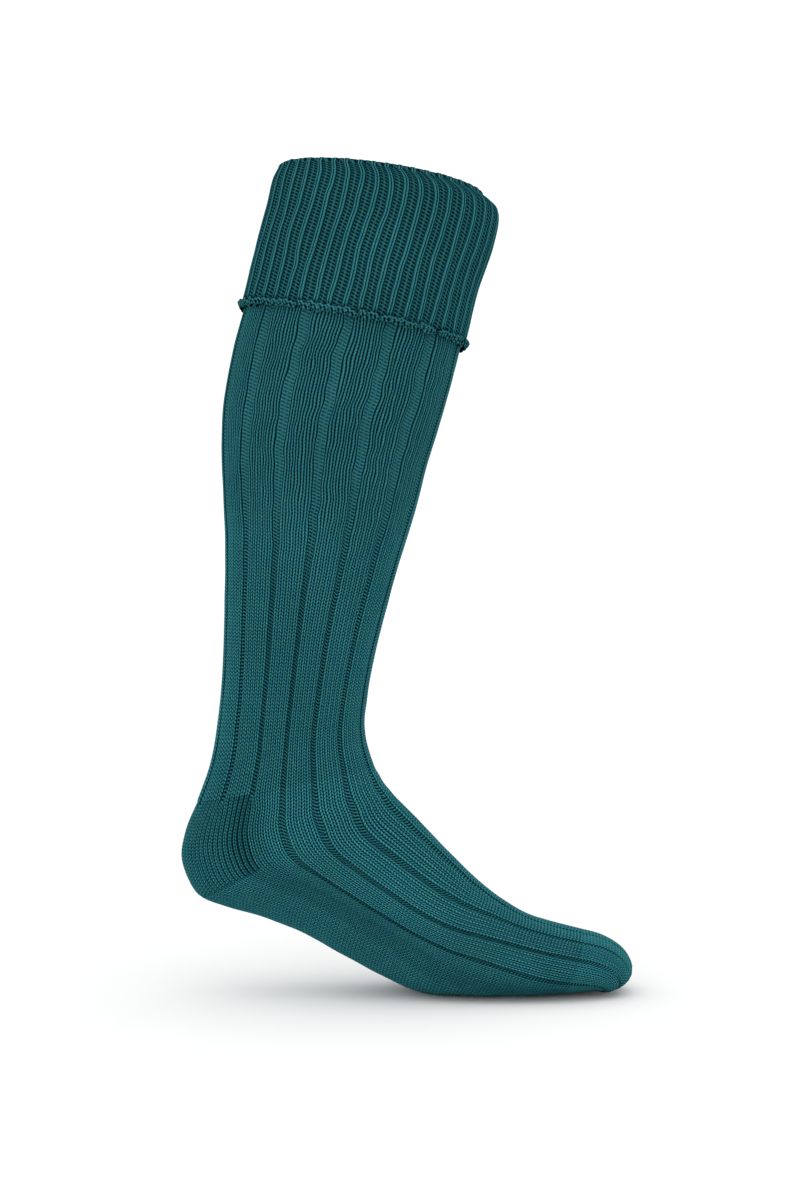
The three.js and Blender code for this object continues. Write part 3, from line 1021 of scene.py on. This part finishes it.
@dataclass
class Leg(Piece):
    """The broad-ribbed tube from under the turn-over to the heel line.

    Attributes:
        spacing: The distance between the rows of its mesh, in metres.
        hidden_spacing: The same under the turn-over.
        hidden_rows: How far above the hem those hidden rows end, as a row number.
        relief: The plain wales' relief.
        open_depth: How deep a channel is where it lies open, in metres.
        closed_depth: The same where it is closed up.
        open_shade: How much painted shade an open channel takes, 0 to 1.
        closed_shade: The same for a closed one.
        swell: How far the panels swell where the channels are closed up, in metres.
        flattening: How much of that swell is lost where the channels lie open, 0 to 1.
        settle_length: How far above the heel line the wales start to run even, in metres.
        strays: How the wales, the channels and the panels stray sideways.
        uneven: How the surface rises and sinks.
    """

    spacing: float = 0.0025
    hidden_spacing: float = 0.008
    hidden_rows: float = 0.2
    relief: Relief = field(default_factory=Relief)
    open_depth: float = 0.0009
    closed_depth: float = 0.0018
    open_shade: float = 0.44
    closed_shade: float = 0.5
    swell: float = 0.0004
    flattening: float = 0.6
    settle_length: float = 0.03
    strays: tuple[Wander, ...] = (
        Wander(seed=11, turns=WALES, length=0.006, reach=0.0001, stretched=0.0005),
        Wander(seed=14, turns=2 * PANELS, length=0.009, reach=0.0001, stretched=0.0008),
        Wander(seed=12, turns=PANELS, length=0.05, reach=0.0003, stretched=0.0009),
    )
    uneven: Wander = Wander(seed=13, turns=3 * PANELS, length=0.012, reach=0.00018)

    def build(self) -> bpy.types.Object:
        """Builds the leg.

        Returns:
            The dressed mesh object.
        """
        rib = BroadRib(self.form)
        hidden_stop = HEM_ROW - self.hidden_rows
        under = self.form.evenly(LEG_TOP_ROW, hidden_stop, self.hidden_spacing)
        shown = self.form.evenly(hidden_stop, HEEL_TOP_ROW, self.spacing)
        numbers = np.concatenate([under[:-1], shown])
        wale = rib.columns(range(PANELS))
        open_ = rib.openness(numbers)[:, None]
        places = rib.places(wale, rib.channel_share(numbers))
        bare = self.form.points(numbers, places, np.zeros(places.shape))
        along = np.broadcast_to(arc_lengths(bare).mean(axis=1, keepdims=True), places.shape)
        settle = smoothstep(0.0, self.settle_length, along[-1:] - along)
        stray = sum(wander.at(along, places, open_) for wander in self.strays)
        places = places + settle * stray / self.form.girths(numbers)[:, None]
        channel = rib.channel_depth(wale)[None, :]
        stitch = rib.stitch(wale)[None, :]
        sunk = channel * (self.open_depth * open_ + self.closed_depth * (1 - open_))
        swell = self.swell * rib.crown(wale)[None, :] * (1 - self.flattening * open_)
        grow = self.relief.height(stitch) * rib.plain(channel) - sunk + swell
        grow = grow + self.uneven.at(along, places) * settle
        points = self.form.points(numbers, places, grow)
        # Painted shade in the grooves between the wales and down the channels.
        darkness = self.closed_shade + (self.open_shade - self.closed_shade) * open_
        shade = np.maximum(self.relief.shade(stitch, open_) * rib.plain(channel), channel * darkness)
        purl = np.broadcast_to((channel > PURL_START).astype(float), places.shape)
        course = (along - along[-1:]) / COURSE
        stitch = np.broadcast_to(stitch, places.shape)
        mesh = KnitMesh(self.node + "_knit")
        mesh.add(KnitSurface(points, stitch, course, purl, shade, open_, WALES))
        mesh.add(self.lining(LEG_TOP_ROW, HEEL_TOP_ROW, (0, 1), KNIT_WALL), flipped=True)
        return self.finish(mesh.build())


@dataclass
class FootPattern:
    """The foot's columns: the broad rib over the instep, plain stitches under the sole.

    Attributes:
        form: The worn form.
        relief: The plain wales' relief.
        channel_depth: How deep the instep's channels are, in metres.
        channel_shade: How much painted shade they take, 0 to 1.
        swell: How far its panels swell, in metres.
        side_wale: The middle of the last channel of the instep.
        heel_wale: The heel's side edge.
        fade_start: The row where the channels start to fade toward the toe's end.
        fade_stop: The row where they have gone.
        sole_columns: Columns of the mesh in a wale of the sole.
        sole_lines: How much more painted shade the grooves between the wales take along the sole's sides.
        sole_band: How far in from the sole's side that band's middle lies, in wales.
        sole_reach: How far the band reaches to each side of its middle, in wales.
        closing_columns: Columns of the mesh in the half channel that ends the last panel.
        edge_slack: How far past the side channels' middles the sole begins, in wales.
        ending_rows: How soon the sole's channels end below the heel line, as a row number.
        evening_rows: How soon the sole's wales spread evenly there.
        settle_length: How far from its ends the wales run even, in metres.
        stray: How its wales stray sideways, with each skin's own seed.
        uneven: How its surface rises and sinks, with the next seed.
        seam_width: How far a seam's groove reaches, in metres.
        seam_depth: How deep it is, in metres.
        seam_shade: How much painted shade it takes, 0 to 1.
    """

    form: SockForm
    relief: Relief = field(default_factory=Relief)
    channel_depth: float = 0.0016
    channel_shade: float = 0.52
    swell: float = 0.0004
    side_wale: float = INSTEP_PANELS * PANEL_WALES
    heel_wale: float = HEEL_PANELS * PANEL_WALES
    fade_start: float = 27.5
    fade_stop: float = 30.6
    sole_columns: int = 6
    sole_lines: float = 0.5
    sole_band: float = 7.0
    sole_reach: float = 4.0
    closing_columns: int = 5
    edge_slack: float = 0.1
    ending_rows: float = 0.22
    evening_rows: float = 0.7
    settle_length: float = 0.02
    stray: Wander = Wander(seed=0, turns=WALES, length=0.007, reach=0.0002)
    uneven: Wander = Wander(seed=0, turns=3 * PANELS, length=0.012, reach=0.00018)
    seam_width: float = 0.0016
    seam_depth: float = 0.0003
    seam_shade: float = 0.7

    def columns(self, low: float, high: float) -> Array:
        """Wale numbers between two limits, 0 at the front.

        Args:
            low: The first wale number.
            high: The last one, left out.

        Returns:
            Wale numbers in order.
        """
        rib = BroadRib(self.form)
        half = PURL_WALES / 2
        reach = math.ceil(INSTEP_PANELS)
        instep = rib.columns(range(-reach, reach + 1))
        instep = instep[(instep >= -self.side_wale) & (instep < self.side_wale + half)]
        sole_wales = WALES - 2 * self.side_wale - PURL_WALES
        sole = np.arange(int(sole_wales * self.sole_columns)) / self.sole_columns + self.side_wale + half
        ending = 1 - np.arange(self.closing_columns) / self.closing_columns
        closing = WALES - self.side_wale - half * ending
        everything = np.concatenate([instep, sole, closing])
        return everything[(everything >= low) & (everything < high)]

    def places(self, wale: Array, numbers: Array) -> Array:
        """Places round the knit: the rib's over the instep, even under the sole.

        Args:
            wale: Wale numbers.
            numbers: Row numbers.

        Returns:
            Places, rows by columns.
        """
        rib = BroadRib(self.form)
        channel = rib.channel_share(numbers)
        ribbed = rib.places(wale, channel)
        edge = 0.25 + channel[:, None] / 2 / PANELS
        first = self.side_wale + PURL_WALES / 2
        inner = (wale[None, :] - first) / (WALES - 2 * first)
        even = edge + inner * (1 - 2 * edge)
        under = (wale > first) & (wale < WALES - first)
        settled = smoothstep(HEEL_TOP_ROW, HEEL_TOP_ROW + self.evening_rows, numbers)[:, None]
        return np.where(under[None, :], ribbed + (even - ribbed) * settled, ribbed)

    def channel(self, wale: Array, numbers: Array) -> Array:
        """How deep in a channel each point lies: only the instep's go on below the heel line.

        Args:
            wale: Wale numbers.
            numbers: Row numbers.

        Returns:
            Depths from 0 to 1, rows by columns.
        """
        rib = BroadRib(self.form)
        first = self.side_wale + PURL_WALES / 2 + self.edge_slack
        under = (wale > first) & (wale < WALES - first)
        ended = smoothstep(HEEL_TOP_ROW, HEEL_TOP_ROW + self.ending_rows, numbers)[:, None]
        faded = smoothstep(self.fade_start, self.fade_stop, numbers)[:, None]
        kept = np.where(under[None, :], 1 - ended, 1 - faded)
        return rib.channel_depth(wale)[None, :] * kept

    def sole_side(self, wale: Array) -> Array:
        """1 in the middle of the drawn-in bands along the sole's sides, and 0 beside them."""
        inside = np.minimum(wale, WALES - wale) - self.side_wale
        return np.clip(2 - 2 * np.abs(inside - self.sole_band) / self.sole_reach, 0, 1)[None, :]

    def skin(self, wale: Array, numbers: Array, turn: int, seed: int, seams: float = 0.0) -> KnitSurface:
        """One skin of the foot's knitting.

        Args:
            wale: Wale numbers.
            numbers: Row numbers.
            turn: The wales in a whole turn where it closes round the foot, or 0.
            seed: The seed of its unevenness.
            seams: How strong the seams' grooves and painted shade are at its first and last row, 0 to 1.

        Returns:
            The skin.
        """
        rib = BroadRib(self.form)
        stitch = rib.stitch(wale)[None, :]
        places = self.places(wale, numbers)
        channel = self.channel(wale, numbers)
        plain = rib.plain(channel)
        along = arc_lengths(self.form.points(numbers, places, np.zeros(places.shape)))
        left = along[-1:] - along
        settle = smoothstep(0.0, self.settle_length, along) * smoothstep(0.0, self.settle_length, left)
        girth = self.form.girths(numbers)[:, None]
        stray = replace(self.stray, seed=seed).at(along, places)
        places = places + settle * stray / girth
        uneven = replace(self.uneven, seed=seed + 1).at(along, places) * settle
        instep = (np.abs(wale) < self.side_wale) | (wale > WALES - self.side_wale)
        crown = rib.crown(wale)[None, :] * instep
        seam = seams * np.clip(1 - np.minimum(along, left) / self.seam_width, 0, 1)
        grow = plain * self.relief.height(stitch) - channel * self.channel_depth
        grow = grow + self.swell * crown + uneven
        points = self.form.points(numbers, places, grow - seam * self.seam_depth)
        # Painted shade in the grooves, more along the sole's sides, and down the channels and the seams.
        lines = self.relief.shade(stitch, np.zeros_like(girth)) * plain
        lines = lines * (1 + self.sole_lines * self.sole_side(wale))
        shade = np.maximum(np.minimum(lines, 1), self.channel_shade * channel)
        shade = np.maximum(shade, self.seam_shade * seam)
        purl = (channel > PURL_START).astype(float)
        stitches = np.broadcast_to(stitch, places.shape)
        return KnitSurface(points, stitches, along / COURSE, purl, shade, 0 * along, turn)


@dataclass
class Heel(Piece):
    """The plain turned heel.

    Attributes:
        spacing: The distance between the rows of its mesh, in metres.
        wale_columns: Columns of the mesh in a wale.
        seams: How strong the seams' grooves and painted shade are at its top and bottom, 0 to 1.
        relief: The plain wales' relief, bolder than elsewhere, with more painted shade between the wales.
    """

    spacing: float = 0.0016
    wale_columns: int = 8
    seams: float = 0.6
    relief: Relief = field(default_factory=lambda: Relief(arm=0.0007, groove=0.0007, between=1.1))

    def build(self) -> bpy.types.Object:
        """Builds the heel.

        Returns:
            The dressed mesh object.
        """
        pattern = FootPattern(self.form, self.relief)
        numbers = self.form.evenly(HEEL_TOP_ROW, GORE_ROW, self.spacing)
        wales = WALES - 2 * pattern.heel_wale
        wale = np.linspace(0, wales, int(wales * self.wale_columns) + 1) + pattern.heel_wale
        mesh = KnitMesh(self.node + "_knit")
        mesh.add(pattern.skin(wale, numbers, turn=0, seed=31, seams=self.seams))
        mesh.add(self.lining(HEEL_TOP_ROW, GORE_ROW, (HEEL_SIDE, 1 - HEEL_SIDE), KNIT_WALL), flipped=True)
        return self.finish(mesh.build())


@dataclass
class Foot(Piece):
    """The front of the ankle, and the foot's tube.

    Attributes:
        spacing: The distance between the rows of its mesh, in metres.
    """

    spacing: float = 0.0021

    def build(self) -> bpy.types.Object:
        """Builds the foot.

        Returns:
            The dressed mesh object.
        """
        pattern = FootPattern(self.form)
        heel = pattern.heel_wale
        whole = pattern.columns(-pattern.side_wale, WALES - pattern.side_wale)
        strip = np.concatenate([whole[whole >= WALES - heel] - WALES, whole[whole < heel], [heel]])
        strip = np.concatenate([[-heel], strip[strip > -heel]])
        ankle = self.form.evenly(HEEL_TOP_ROW, GORE_ROW, self.spacing)
        tube = self.form.evenly(GORE_ROW, TOE_ROW, self.spacing)
        mesh = KnitMesh(self.node + "_knit")
        mesh.add(pattern.skin(strip, ankle, turn=0, seed=41))
        mesh.add(pattern.skin(whole, tube, turn=WALES, seed=43))
        mesh.add(self.lining(HEEL_TOP_ROW, GORE_ROW, (-HEEL_SIDE, HEEL_SIDE), KNIT_WALL), flipped=True)
        mesh.add(self.lining(GORE_ROW, TOE_ROW, (0, 1), KNIT_WALL), flipped=True)
        return self.finish(mesh.build())


@dataclass
class Toe(Piece):
    """The closed toe, drawn in to a short seam under its tip.

    Attributes:
        spacing: The distance between the rows of its mesh, in metres.
        closing_steps: Rows of the mesh from the last ring in to the seam.
        closing_share: How much of the last ring's opening they close, 0 to 1.
        closing_shade: How much painted shade they take, 0 to 1.
        bulge: How far they bulge outward, in metres.
    """

    spacing: float = 0.0017
    closing_steps: int = 6
    closing_share: float = 0.98
    closing_shade: float = 0.6
    bulge: float = 0.001

    def build(self) -> bpy.types.Object:
        """Builds the toe.

        Returns:
            The dressed mesh object.
        """
        pattern = FootPattern(self.form)
        wale = pattern.columns(-pattern.side_wale, WALES - pattern.side_wale)
        numbers = self.form.evenly(TOE_ROW, END_ROW, self.spacing)
        skin = pattern.skin(wale, numbers, turn=WALES, seed=51)
        end = self.form.at(np.array([END_ROW]))[0]
        reach = end[Column.FRONT_X.value] - end[Column.BACK_X.value]
        reach = math.hypot(reach, end[Column.FRONT_Z.value] - end[Column.BACK_Z.value]) / 2
        inward = np.linspace(0, 1, self.closing_steps + 1)[1:, None] * reach * self.closing_share
        shape = (len(inward), len(wale))
        places = np.broadcast_to(pattern.places(wale, numbers[-1:]), shape)
        closing = self.form.points(np.full(len(inward), END_ROW), places, np.broadcast_to(-inward, shape))
        bulge = self.bulge * np.sin(np.pi / 2 * inward / inward[-1])
        closing = closing - bulge[:, :, None] * self.form.normal(END_ROW)
        # The closing rows tuck under the tip and take painted shade.
        blank = np.zeros(shape)
        skin = KnitSurface(
            np.concatenate([skin.points, closing]),
            np.concatenate([skin.wale, skin.wale[-1:] + blank]),
            np.concatenate([skin.course, skin.course[-1:] + inward / COURSE + blank]),
            np.concatenate([skin.purl, blank]),
            np.concatenate([skin.depth, blank + self.closing_shade]),
            np.concatenate([skin.stretch, blank]),
            WALES,
        )
        mesh = KnitMesh(self.node + "_knit")
        mesh.add(skin)
        mesh.add(self.lining(TOE_ROW, TOE_INSIDE_ROW, (0, 1), KNIT_WALL), flipped=True)
        return self.finish(mesh.build())


@dataclass
class Cuff(Piece):
    """The turned-over top: narrow ribs down over the leg, folded at the mouth.

    Attributes:
        spacing: The distance between the rows of its outer face, in metres.
        inside_coarser: How many times that its rows lie apart inside the mouth.
        fold_steps: Rows of the mesh round the fold.
        fold_softening: How much lower the ribs are on top of the fold, 0 to 1.
        ridge_share: A ridge's share of its rib's width.
        ridge_columns: Columns of the mesh in a ridge.
        band_columns: The same in the purl band beside it.
        rib_height: How far a ridge stands up, in metres.
        ridge_power: How round a ridge's sides are, 0 for square and 1 for a sine.
        ridge_split: How deep the groove between its two arms is, as a share of its height.
        band_height: How high the band's middle is, as a share of a ridge's height.
        band_power: How round the band's sides are, 0 for square and 1 for a sine.
        band_shade: How much painted shade the band takes, 0 to 1.
        line_reach: How far the painted-shade line beside a ridge reaches, in wales.
        line_shade: How much painted shade it takes, 0 to 1.
        split_reach: How far the painted-shade line down a ridge's middle reaches, in wales.
        split_shade: How much painted shade that line takes, as a share of the one beside the ridge.
        hem_shade: How much painted shadow the lowest courses take, just over the cast-off edge, 0 to 1.
        hem_reach: How far up from the hem that painted shadow reaches, in metres.
        strays: How the ribs stray sideways.
        uneven: How the surface rises and sinks.
    """

    spacing: float = 0.0014
    inside_coarser: float = 1.6
    fold_steps: int = 12
    fold_softening: float = 0.5
    ridge_share: float = 0.4
    ridge_columns: int = 6
    band_columns: int = 8
    rib_height: float = 0.001
    ridge_power: float = 0.6
    ridge_split: float = 0.4
    band_height: float = 0.4
    band_power: float = 0.5
    band_shade: float = 0.5
    line_reach: float = 0.3
    line_shade: float = 0.85
    split_reach: float = 0.2
    split_shade: float = 0.8
    hem_shade: float = 0.55
    hem_reach: float = 0.0035
    strays: tuple[Wander, ...] = (
        Wander(seed=21, turns=CUFF_RIBS, length=0.02, reach=0.0007),
        Wander(seed=23, turns=CUFF_RIBS, length=0.007, reach=0.0003),
    )
    uneven: Wander = Wander(seed=22, turns=2 * CUFF_RIBS, length=0.01, reach=0.0002)

    def columns(self) -> tuple[Array, Array]:
        """Wale numbers and places of the ribs' columns.

        Returns:
            Wale numbers and places, one of each for every column.
        """
        ridge = np.arange(self.ridge_columns) / self.ridge_columns
        band = np.arange(self.band_columns) / self.band_columns
        wale = np.concatenate([ridge, 1 + (RIB_WALES - 1) * band])
        ridge_place = (ridge - 0.5) * self.ridge_share
        band_place = self.ridge_share / 2 + band * (1 - self.ridge_share)
        place = np.concatenate([ridge_place, band_place])
        ribs = np.arange(CUFF_RIBS)[:, None]
        return (wale[None, :] + RIB_WALES * ribs).ravel(), ((place[None, :] + ribs) / CUFF_RIBS).ravel()

    def rib(self, wale: Array) -> Array:
        """The ribs' height: two arms on a ridge, a low swell between two ridges, and 0 beside them.

        Args:
            wale: Wale numbers, one for each column.

        Returns:
            Shares of a ridge's height, one for each column.
        """
        part = np.mod(wale, RIB_WALES)
        arms = 1 - self.ridge_split * (0.5 + 0.5 * np.cos(4 * np.pi * part))
        ridge = np.sin(np.pi * np.clip(part, 0, 1)) ** self.ridge_power * arms
        across = np.clip((part - 1) / (RIB_WALES - 1), 0, 1)
        band = self.band_height * np.sin(np.pi * across) ** self.band_power
        return np.where(part < 1, ridge, band)

    @staticmethod
    def _line(wale: Array, middle: float, reach: float) -> Array:
        """1 on a line down every rib, at a wale number of the rib, and 0 beside it."""
        half = RIB_WALES / 2
        return np.clip(1 - np.abs(np.mod(wale - middle + half, RIB_WALES) - half) / reach, 0, 1)

    def shade(self, wale: Array) -> Array:
        """How dark each column is: lines beside the ridges and down their middles, and the bands.

        Args:
            wale: Wale numbers, one for each column.

        Returns:
            Painted shade from 0 to 1, one for each column.
        """
        beside = np.maximum(self._line(wale, 0, self.line_reach), self._line(wale, 1, self.line_reach))
        split = self.split_shade * self._line(wale, 0.5, self.split_reach)
        band = np.where(np.mod(wale, RIB_WALES) > 1, self.band_shade, 0.0)
        return np.maximum(np.maximum(beside, split) * self.line_shade, band)

    def build(self) -> bpy.types.Object:
        """Builds the turn-over.

        Returns:
            The dressed mesh object.
        """
        face = self.form.evenly(HEM_ROW, MOUTH_ROW, self.spacing)
        fold = np.linspace(0, np.pi, self.fold_steps + 1)[1:]
        inside = self.form.evenly(MOUTH_ROW, LEG_TOP_ROW, self.spacing * self.inside_coarser)[1:]
        numbers = np.concatenate([face, np.full(len(fold), MOUTH_ROW), inside])
        turn = np.concatenate([np.zeros(len(face)), fold, np.full(len(inside), np.pi)])[:, None]
        radius = LAYER_GAP / 2 + CUFF_WALL
        wale, place = self.columns()
        places = np.broadcast_to(place, (len(numbers), len(place)))
        grow = LAYER_GAP / 2 + radius * np.cos(turn) + np.zeros(places.shape)
        bare = self.form.points(numbers, places, grow)
        along = arc_lengths(bare).mean(axis=1, keepdims=True) * np.ones(places.shape)
        stray = sum(wander.at(along, places) for wander in self.strays) / self.form.girths(numbers)[:, None]
        height = self.rib_height * (self.rib(wale)[None, :] - 1) * (1 - self.fold_softening * np.sin(turn))
        height = height + self.uneven.at(along, places)
        points = self.form.points(numbers, places + stray, grow + height * np.cos(turn))
        lift = (radius + height) * np.sin(turn)
        points = points + lift[:, :, None] * self.form.normal(MOUTH_ROW)
        purl = np.broadcast_to((np.mod(wale, RIB_WALES) >= 1).astype(float), places.shape)
        # Painted shadow on the lowest courses, just over the cast-off edge.
        hem = self.hem_shade * np.clip(2 - 2 * along / self.hem_reach, 0, 1)
        shade = np.maximum(self.shade(wale)[None, :], hem)
        wales, stretch = np.broadcast_to(wale, places.shape), np.zeros(places.shape)
        mesh = KnitMesh(self.node + "_knit")
        mesh.add(KnitSurface(points, wales, along / COURSE, purl, shade, stretch, CUFF_WALES), flipped=True)
        mesh.add(self.lining(HEM_ROW, MOUTH_ROW, (0, 1), -LAYER_GAP))
        return self.finish(mesh.build())


@dataclass
class CuffEdge(Piece):
    """The cast-off edge: a chain of slanting yarn loops on a cord, under the turn-over's hem.

    Attributes:
        yarn: The loops' radius, in metres.
        cord: The cord's radius.
        out: How far off the leg's outer face the loops' middles lie.
        cord_back: How much nearer to the leg the cord's middle lies.
        drop: How far up from the hem the edge's middle line lies, less than 0 for down.
        scallop: How far the edge rises and falls from rib to rib.
        loops: How many loops there are.
        loop_reach: How far a loop reaches to each side, in loops.
        loop_stray: How far a loop strays from its place, in loops.
        loop_height: How far a loop swings up and down.
        slope: How much higher its one end is.
        slope_stray: How far that differs from loop to loop.
        swing: How far a loop swings toward the leg and away.
        swing_start: Where in its turn that swing begins.
        push: How far the loops stand in front of each other.
        bends: Points along a loop.
        sides: Points round the yarn.
        plies: Strands in the yarn.
        twists: Turns of the strands between two points of a loop.
        facing_shade: How much painted shade the yarn's sides take, 0 to 1.
        facing_gain: How much less that is on its front, and more on its back toward the leg.
        seed: The seed of the loops' unevenness.
    """

    yarn: float = 0.00115
    cord: float = 0.0011
    out: float = 0.0034
    cord_back: float = 0.0006
    drop: float = -0.0014
    scallop: float = 0.0005
    loops: int = 3 * CUFF_RIBS // 2
    loop_reach: float = 0.6
    loop_stray: float = 0.35
    loop_height: float = 0.0009
    slope: float = 0.001
    slope_stray: float = 0.0008
    swing: float = 0.0007
    swing_start: float = 0.8
    push: float = 0.0005
    bends: int = 12
    sides: int = 8
    plies: int = 3
    twists: float = 0.67
    facing_shade: float = 0.75
    facing_gain: float = 0.9
    seed: int = 61

    def build(self) -> bpy.types.Object:
        """Builds the chain.

        Returns:
            The dressed mesh object.
        """
        random = np.random.default_rng(self.seed)
        turn = 2 * np.pi * np.arange(self.bends) / self.bends
        mesh = KnitMesh(self.node + "_knit")
        for loop in range(self.loops):
            sway, tip, push = random.uniform(-1, 1, 3)
            place = (loop + 0.5 + self.loop_stray * sway + self.loop_reach * np.cos(turn)) / self.loops
            slope = self.slope + self.slope_stray * tip
            rise = self.loop_height * np.sin(turn) + slope * np.cos(turn)
            out = self.out + self.swing * np.sin(turn + self.swing_start) + self.push * push
            self._tube(mesh, place, out, rise, self.yarn)
        steps = np.arange(4 * self.loops) / (4 * self.loops)
        level = np.zeros(steps.shape)
        self._tube(mesh, steps, level + (self.out - self.cord_back), level, self.cord)
        return self.finish(mesh.build())

    def _tube(self, mesh: KnitMesh, place: Array, out: Array, rise: Array, radius: float) -> None:
        """Adds a closed tube of yarn.

        Args:
            mesh: The mesh to add it to.
            place: Places round the knit along the tube.
            out: Growth off the leg's outer face.
            rise: Heights above the edge's middle line.
            radius: The yarn's radius.
        """
        up = self.form.normal(HEM_ROW)
        hem = np.array([HEM_ROW])
        skin, centre = (self.form.points(hem, place[None], grow[None])[0] for grow in (0 * out, out))
        away = (centre - skin) / np.linalg.norm(centre - skin, axis=1, keepdims=True)
        scallop = self.scallop * np.cos(2 * np.pi * CUFF_RIBS * place)
        centre = centre + (self.drop + rise + scallop)[:, None] * up
        tangent = np.roll(centre, -1, axis=0) - np.roll(centre, 1, axis=0)
        tangent /= np.linalg.norm(tangent, axis=1, keepdims=True)
        first = np.cross(tangent, up)
        first /= np.linalg.norm(first, axis=1, keepdims=True)
        second = np.cross(tangent, first)
        side = 2 * np.pi * np.arange(self.sides) / self.sides
        cos, sin = np.cos(side)[None, :, None], np.sin(side)[None, :, None]
        tube = centre[:, None] + radius * (cos * first[:, None] + sin * second[:, None])
        # Painted shade on the yarn's sides and on its back toward the leg.
        facing = np.einsum("ijk,ik->ij", tube - centre[:, None], away) / radius
        shade = np.clip(self.facing_shade - self.facing_gain * facing, 0, 1)
        tube, shade = np.concatenate([tube, tube[:1]]), np.concatenate([shade, shade[:1]])
        shape = tube.shape[:2]
        turns = round((shape[0] - 1) * self.twists)
        wale = np.broadcast_to(self.plies * side / (2 * np.pi), shape)
        course = np.broadcast_to(np.linspace(0, turns, shape[0])[:, None], shape)
        one = np.ones(shape)
        mesh.add(KnitSurface(tube, wale, course, one, shade, one, self.plies))


@dataclass
class Studio:
    """A white floor, soft white light and the photograph's camera.

    Attributes:
        form: The worn form.
        metres_per_pixel: The photograph's scale in the plane that halves the sock.
        distance: How far the camera stands from that plane.
        image_width: The photograph's width, in pixels.
        image_height: Its height, in pixels.
        heel_pixel: The photograph's column that the back of the heel touches.
        ground_pixel: The photograph's row that the sole stands on.
        sensor: The camera's sensor, in millimetres.
        floor_size: The floor's side, in metres.
        floor_white: The floor's colour, 0 to 1.
        floor_roughness: How dull the floor is, 0 to 1.
        floor_gloss: How strongly it mirrors, 0 to 1.
        sky_strength: The strength of the light from all round.
        lamp_energy: The lamp's power, in watts.
        lamp_size: The lamp's side, in metres.
        lamp_place: Where the lamp hangs.
        lamp_tilt: How far the lamp is tilted up from looking straight down, in degrees.
        lamp_turn: How far it is turned to the side, in degrees.
    """

    form: SockForm
    metres_per_pixel: float = 0.00058
    distance: float = 1.3
    image_width: int = 800
    image_height: int = 1200
    heel_pixel: int = 183
    ground_pixel: int = 994
    sensor: float = 36.0
    floor_size: float = 60.0
    floor_white: float = 0.93
    floor_roughness: float = 0.9
    floor_gloss: float = 0.1
    sky_strength: float = 1.12
    lamp_energy: float = 14.0
    lamp_size: float = 1.2
    lamp_place: tuple[float, float, float] = (-0.3, -1.9, -0.15)
    lamp_tilt: float = 87.0
    lamp_turn: float = -9.0

    def build(self, floor_height: float) -> None:
        """Adds the floor, the lights and the camera.

        Args:
            floor_height: The height that the sock stands on.
        """
        self._floor(floor_height)
        self._light()
        self._camera()

    def _floor(self, height: float) -> None:
        """A large white floor.

        Args:
            height: The height that it lies at.
        """
        bpy.ops.mesh.primitive_plane_add(size=self.floor_size, location=(0, 0, height))
        floor = bpy.context.object
        floor.name = "floor"
        material = bpy.data.materials.new("white floor")
        material.use_nodes = True
        shader = material.node_tree.nodes["Principled BSDF"]
        shader.inputs["Base Color"].default_value = (*[self.floor_white] * 3, 1)
        shader.inputs["Roughness"].default_value = self.floor_roughness
        shader.inputs["Specular IOR Level"].default_value = self.floor_gloss
        floor.data.materials.append(material)
        floor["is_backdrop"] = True

    def _light(self) -> None:
        """A white world and one large soft lamp."""
        world = bpy.data.worlds.new("studio")
        world.use_nodes = True
        back = world.node_tree.nodes["Background"]
        back.inputs["Color"].default_value = (1, 1, 1, 1)
        back.inputs["Strength"].default_value = self.sky_strength
        bpy.context.scene.world = world
        lamp = bpy.data.lights.new("key", "AREA")
        lamp.energy = self.lamp_energy
        lamp.size = self.lamp_size
        item = bpy.data.objects.new("key", lamp)
        item.location = self.lamp_place
        item.rotation_euler = (math.radians(self.lamp_tilt), 0, math.radians(self.lamp_turn))
        bpy.context.scene.collection.objects.link(item)
        bpy.context.scene.view_settings.view_transform = "Standard"

    def _camera(self) -> None:
        """A level camera, square to the plane that halves the sock."""
        data = bpy.data.cameras.new("camera")
        data.sensor_width = self.sensor
        data.lens = self.sensor * self.distance / (self.image_height * self.metres_per_pixel)
        item = bpy.data.objects.new("camera", data)
        x = (self.image_width / 2 - self.heel_pixel) * self.metres_per_pixel - self.form.origin[0]
        z = (self.ground_pixel - self.image_height / 2) * self.metres_per_pixel - self.form.origin[2]
        item.location = (x, -self.distance, z)
        item.rotation_euler = (math.pi / 2, 0, 0)
        bpy.context.scene.collection.objects.link(item)
        bpy.context.scene.camera = item


def main() -> None:
    """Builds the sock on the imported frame, and the studio round it."""
    logging.basicConfig(level=logging.INFO, format="%(name)s: %(message)s")
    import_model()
    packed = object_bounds()
    form = SockForm()
    # The wools are one yarn. Their painted-light factors are higher on the heel, foot and toe, partly as
    # painted light where less light falls and partly for their finer stitches, and lower on the cast-off
    # edge as painted shade.
    cuff_wool = Wool(
        "cuff wool", "cuff_knit", tight_bead=0.4, lean=-0.5, hole=0.6, dim=0.0, tight_painted_light=0.92
    )
    edge_wool = Wool(
        "edge wool", "edge_knit", open_bead=0.3, open_gap=1.0, lean=-0.24, hole=0.6, open_painted_light=0.72
    )
    leg_wool = Wool("leg wool", "leg_knit", open_gap=0.68, lowest=0.2, tight_painted_light=1.2, open_painted_light=0.84)
    Cuff(form, cuff_wool, "cuff").build()
    CuffEdge(form, edge_wool, "cuff_edge").build()
    Leg(form, leg_wool, "leg").build()
    Heel(form, Wool("heel wool", "heel_knit", tight_painted_light=1.27), "heel").build()
    Foot(form, Wool("foot wool", "foot_knit", lowest=0.2, tight_painted_light=1.37), "foot").build()
    Toe(form, Wool("toe wool", "toe_knit", tight_painted_light=1.5), "toe").build()
    Studio(form).build(float(packed[0][2]))


if __name__ == "__main__":
    main()
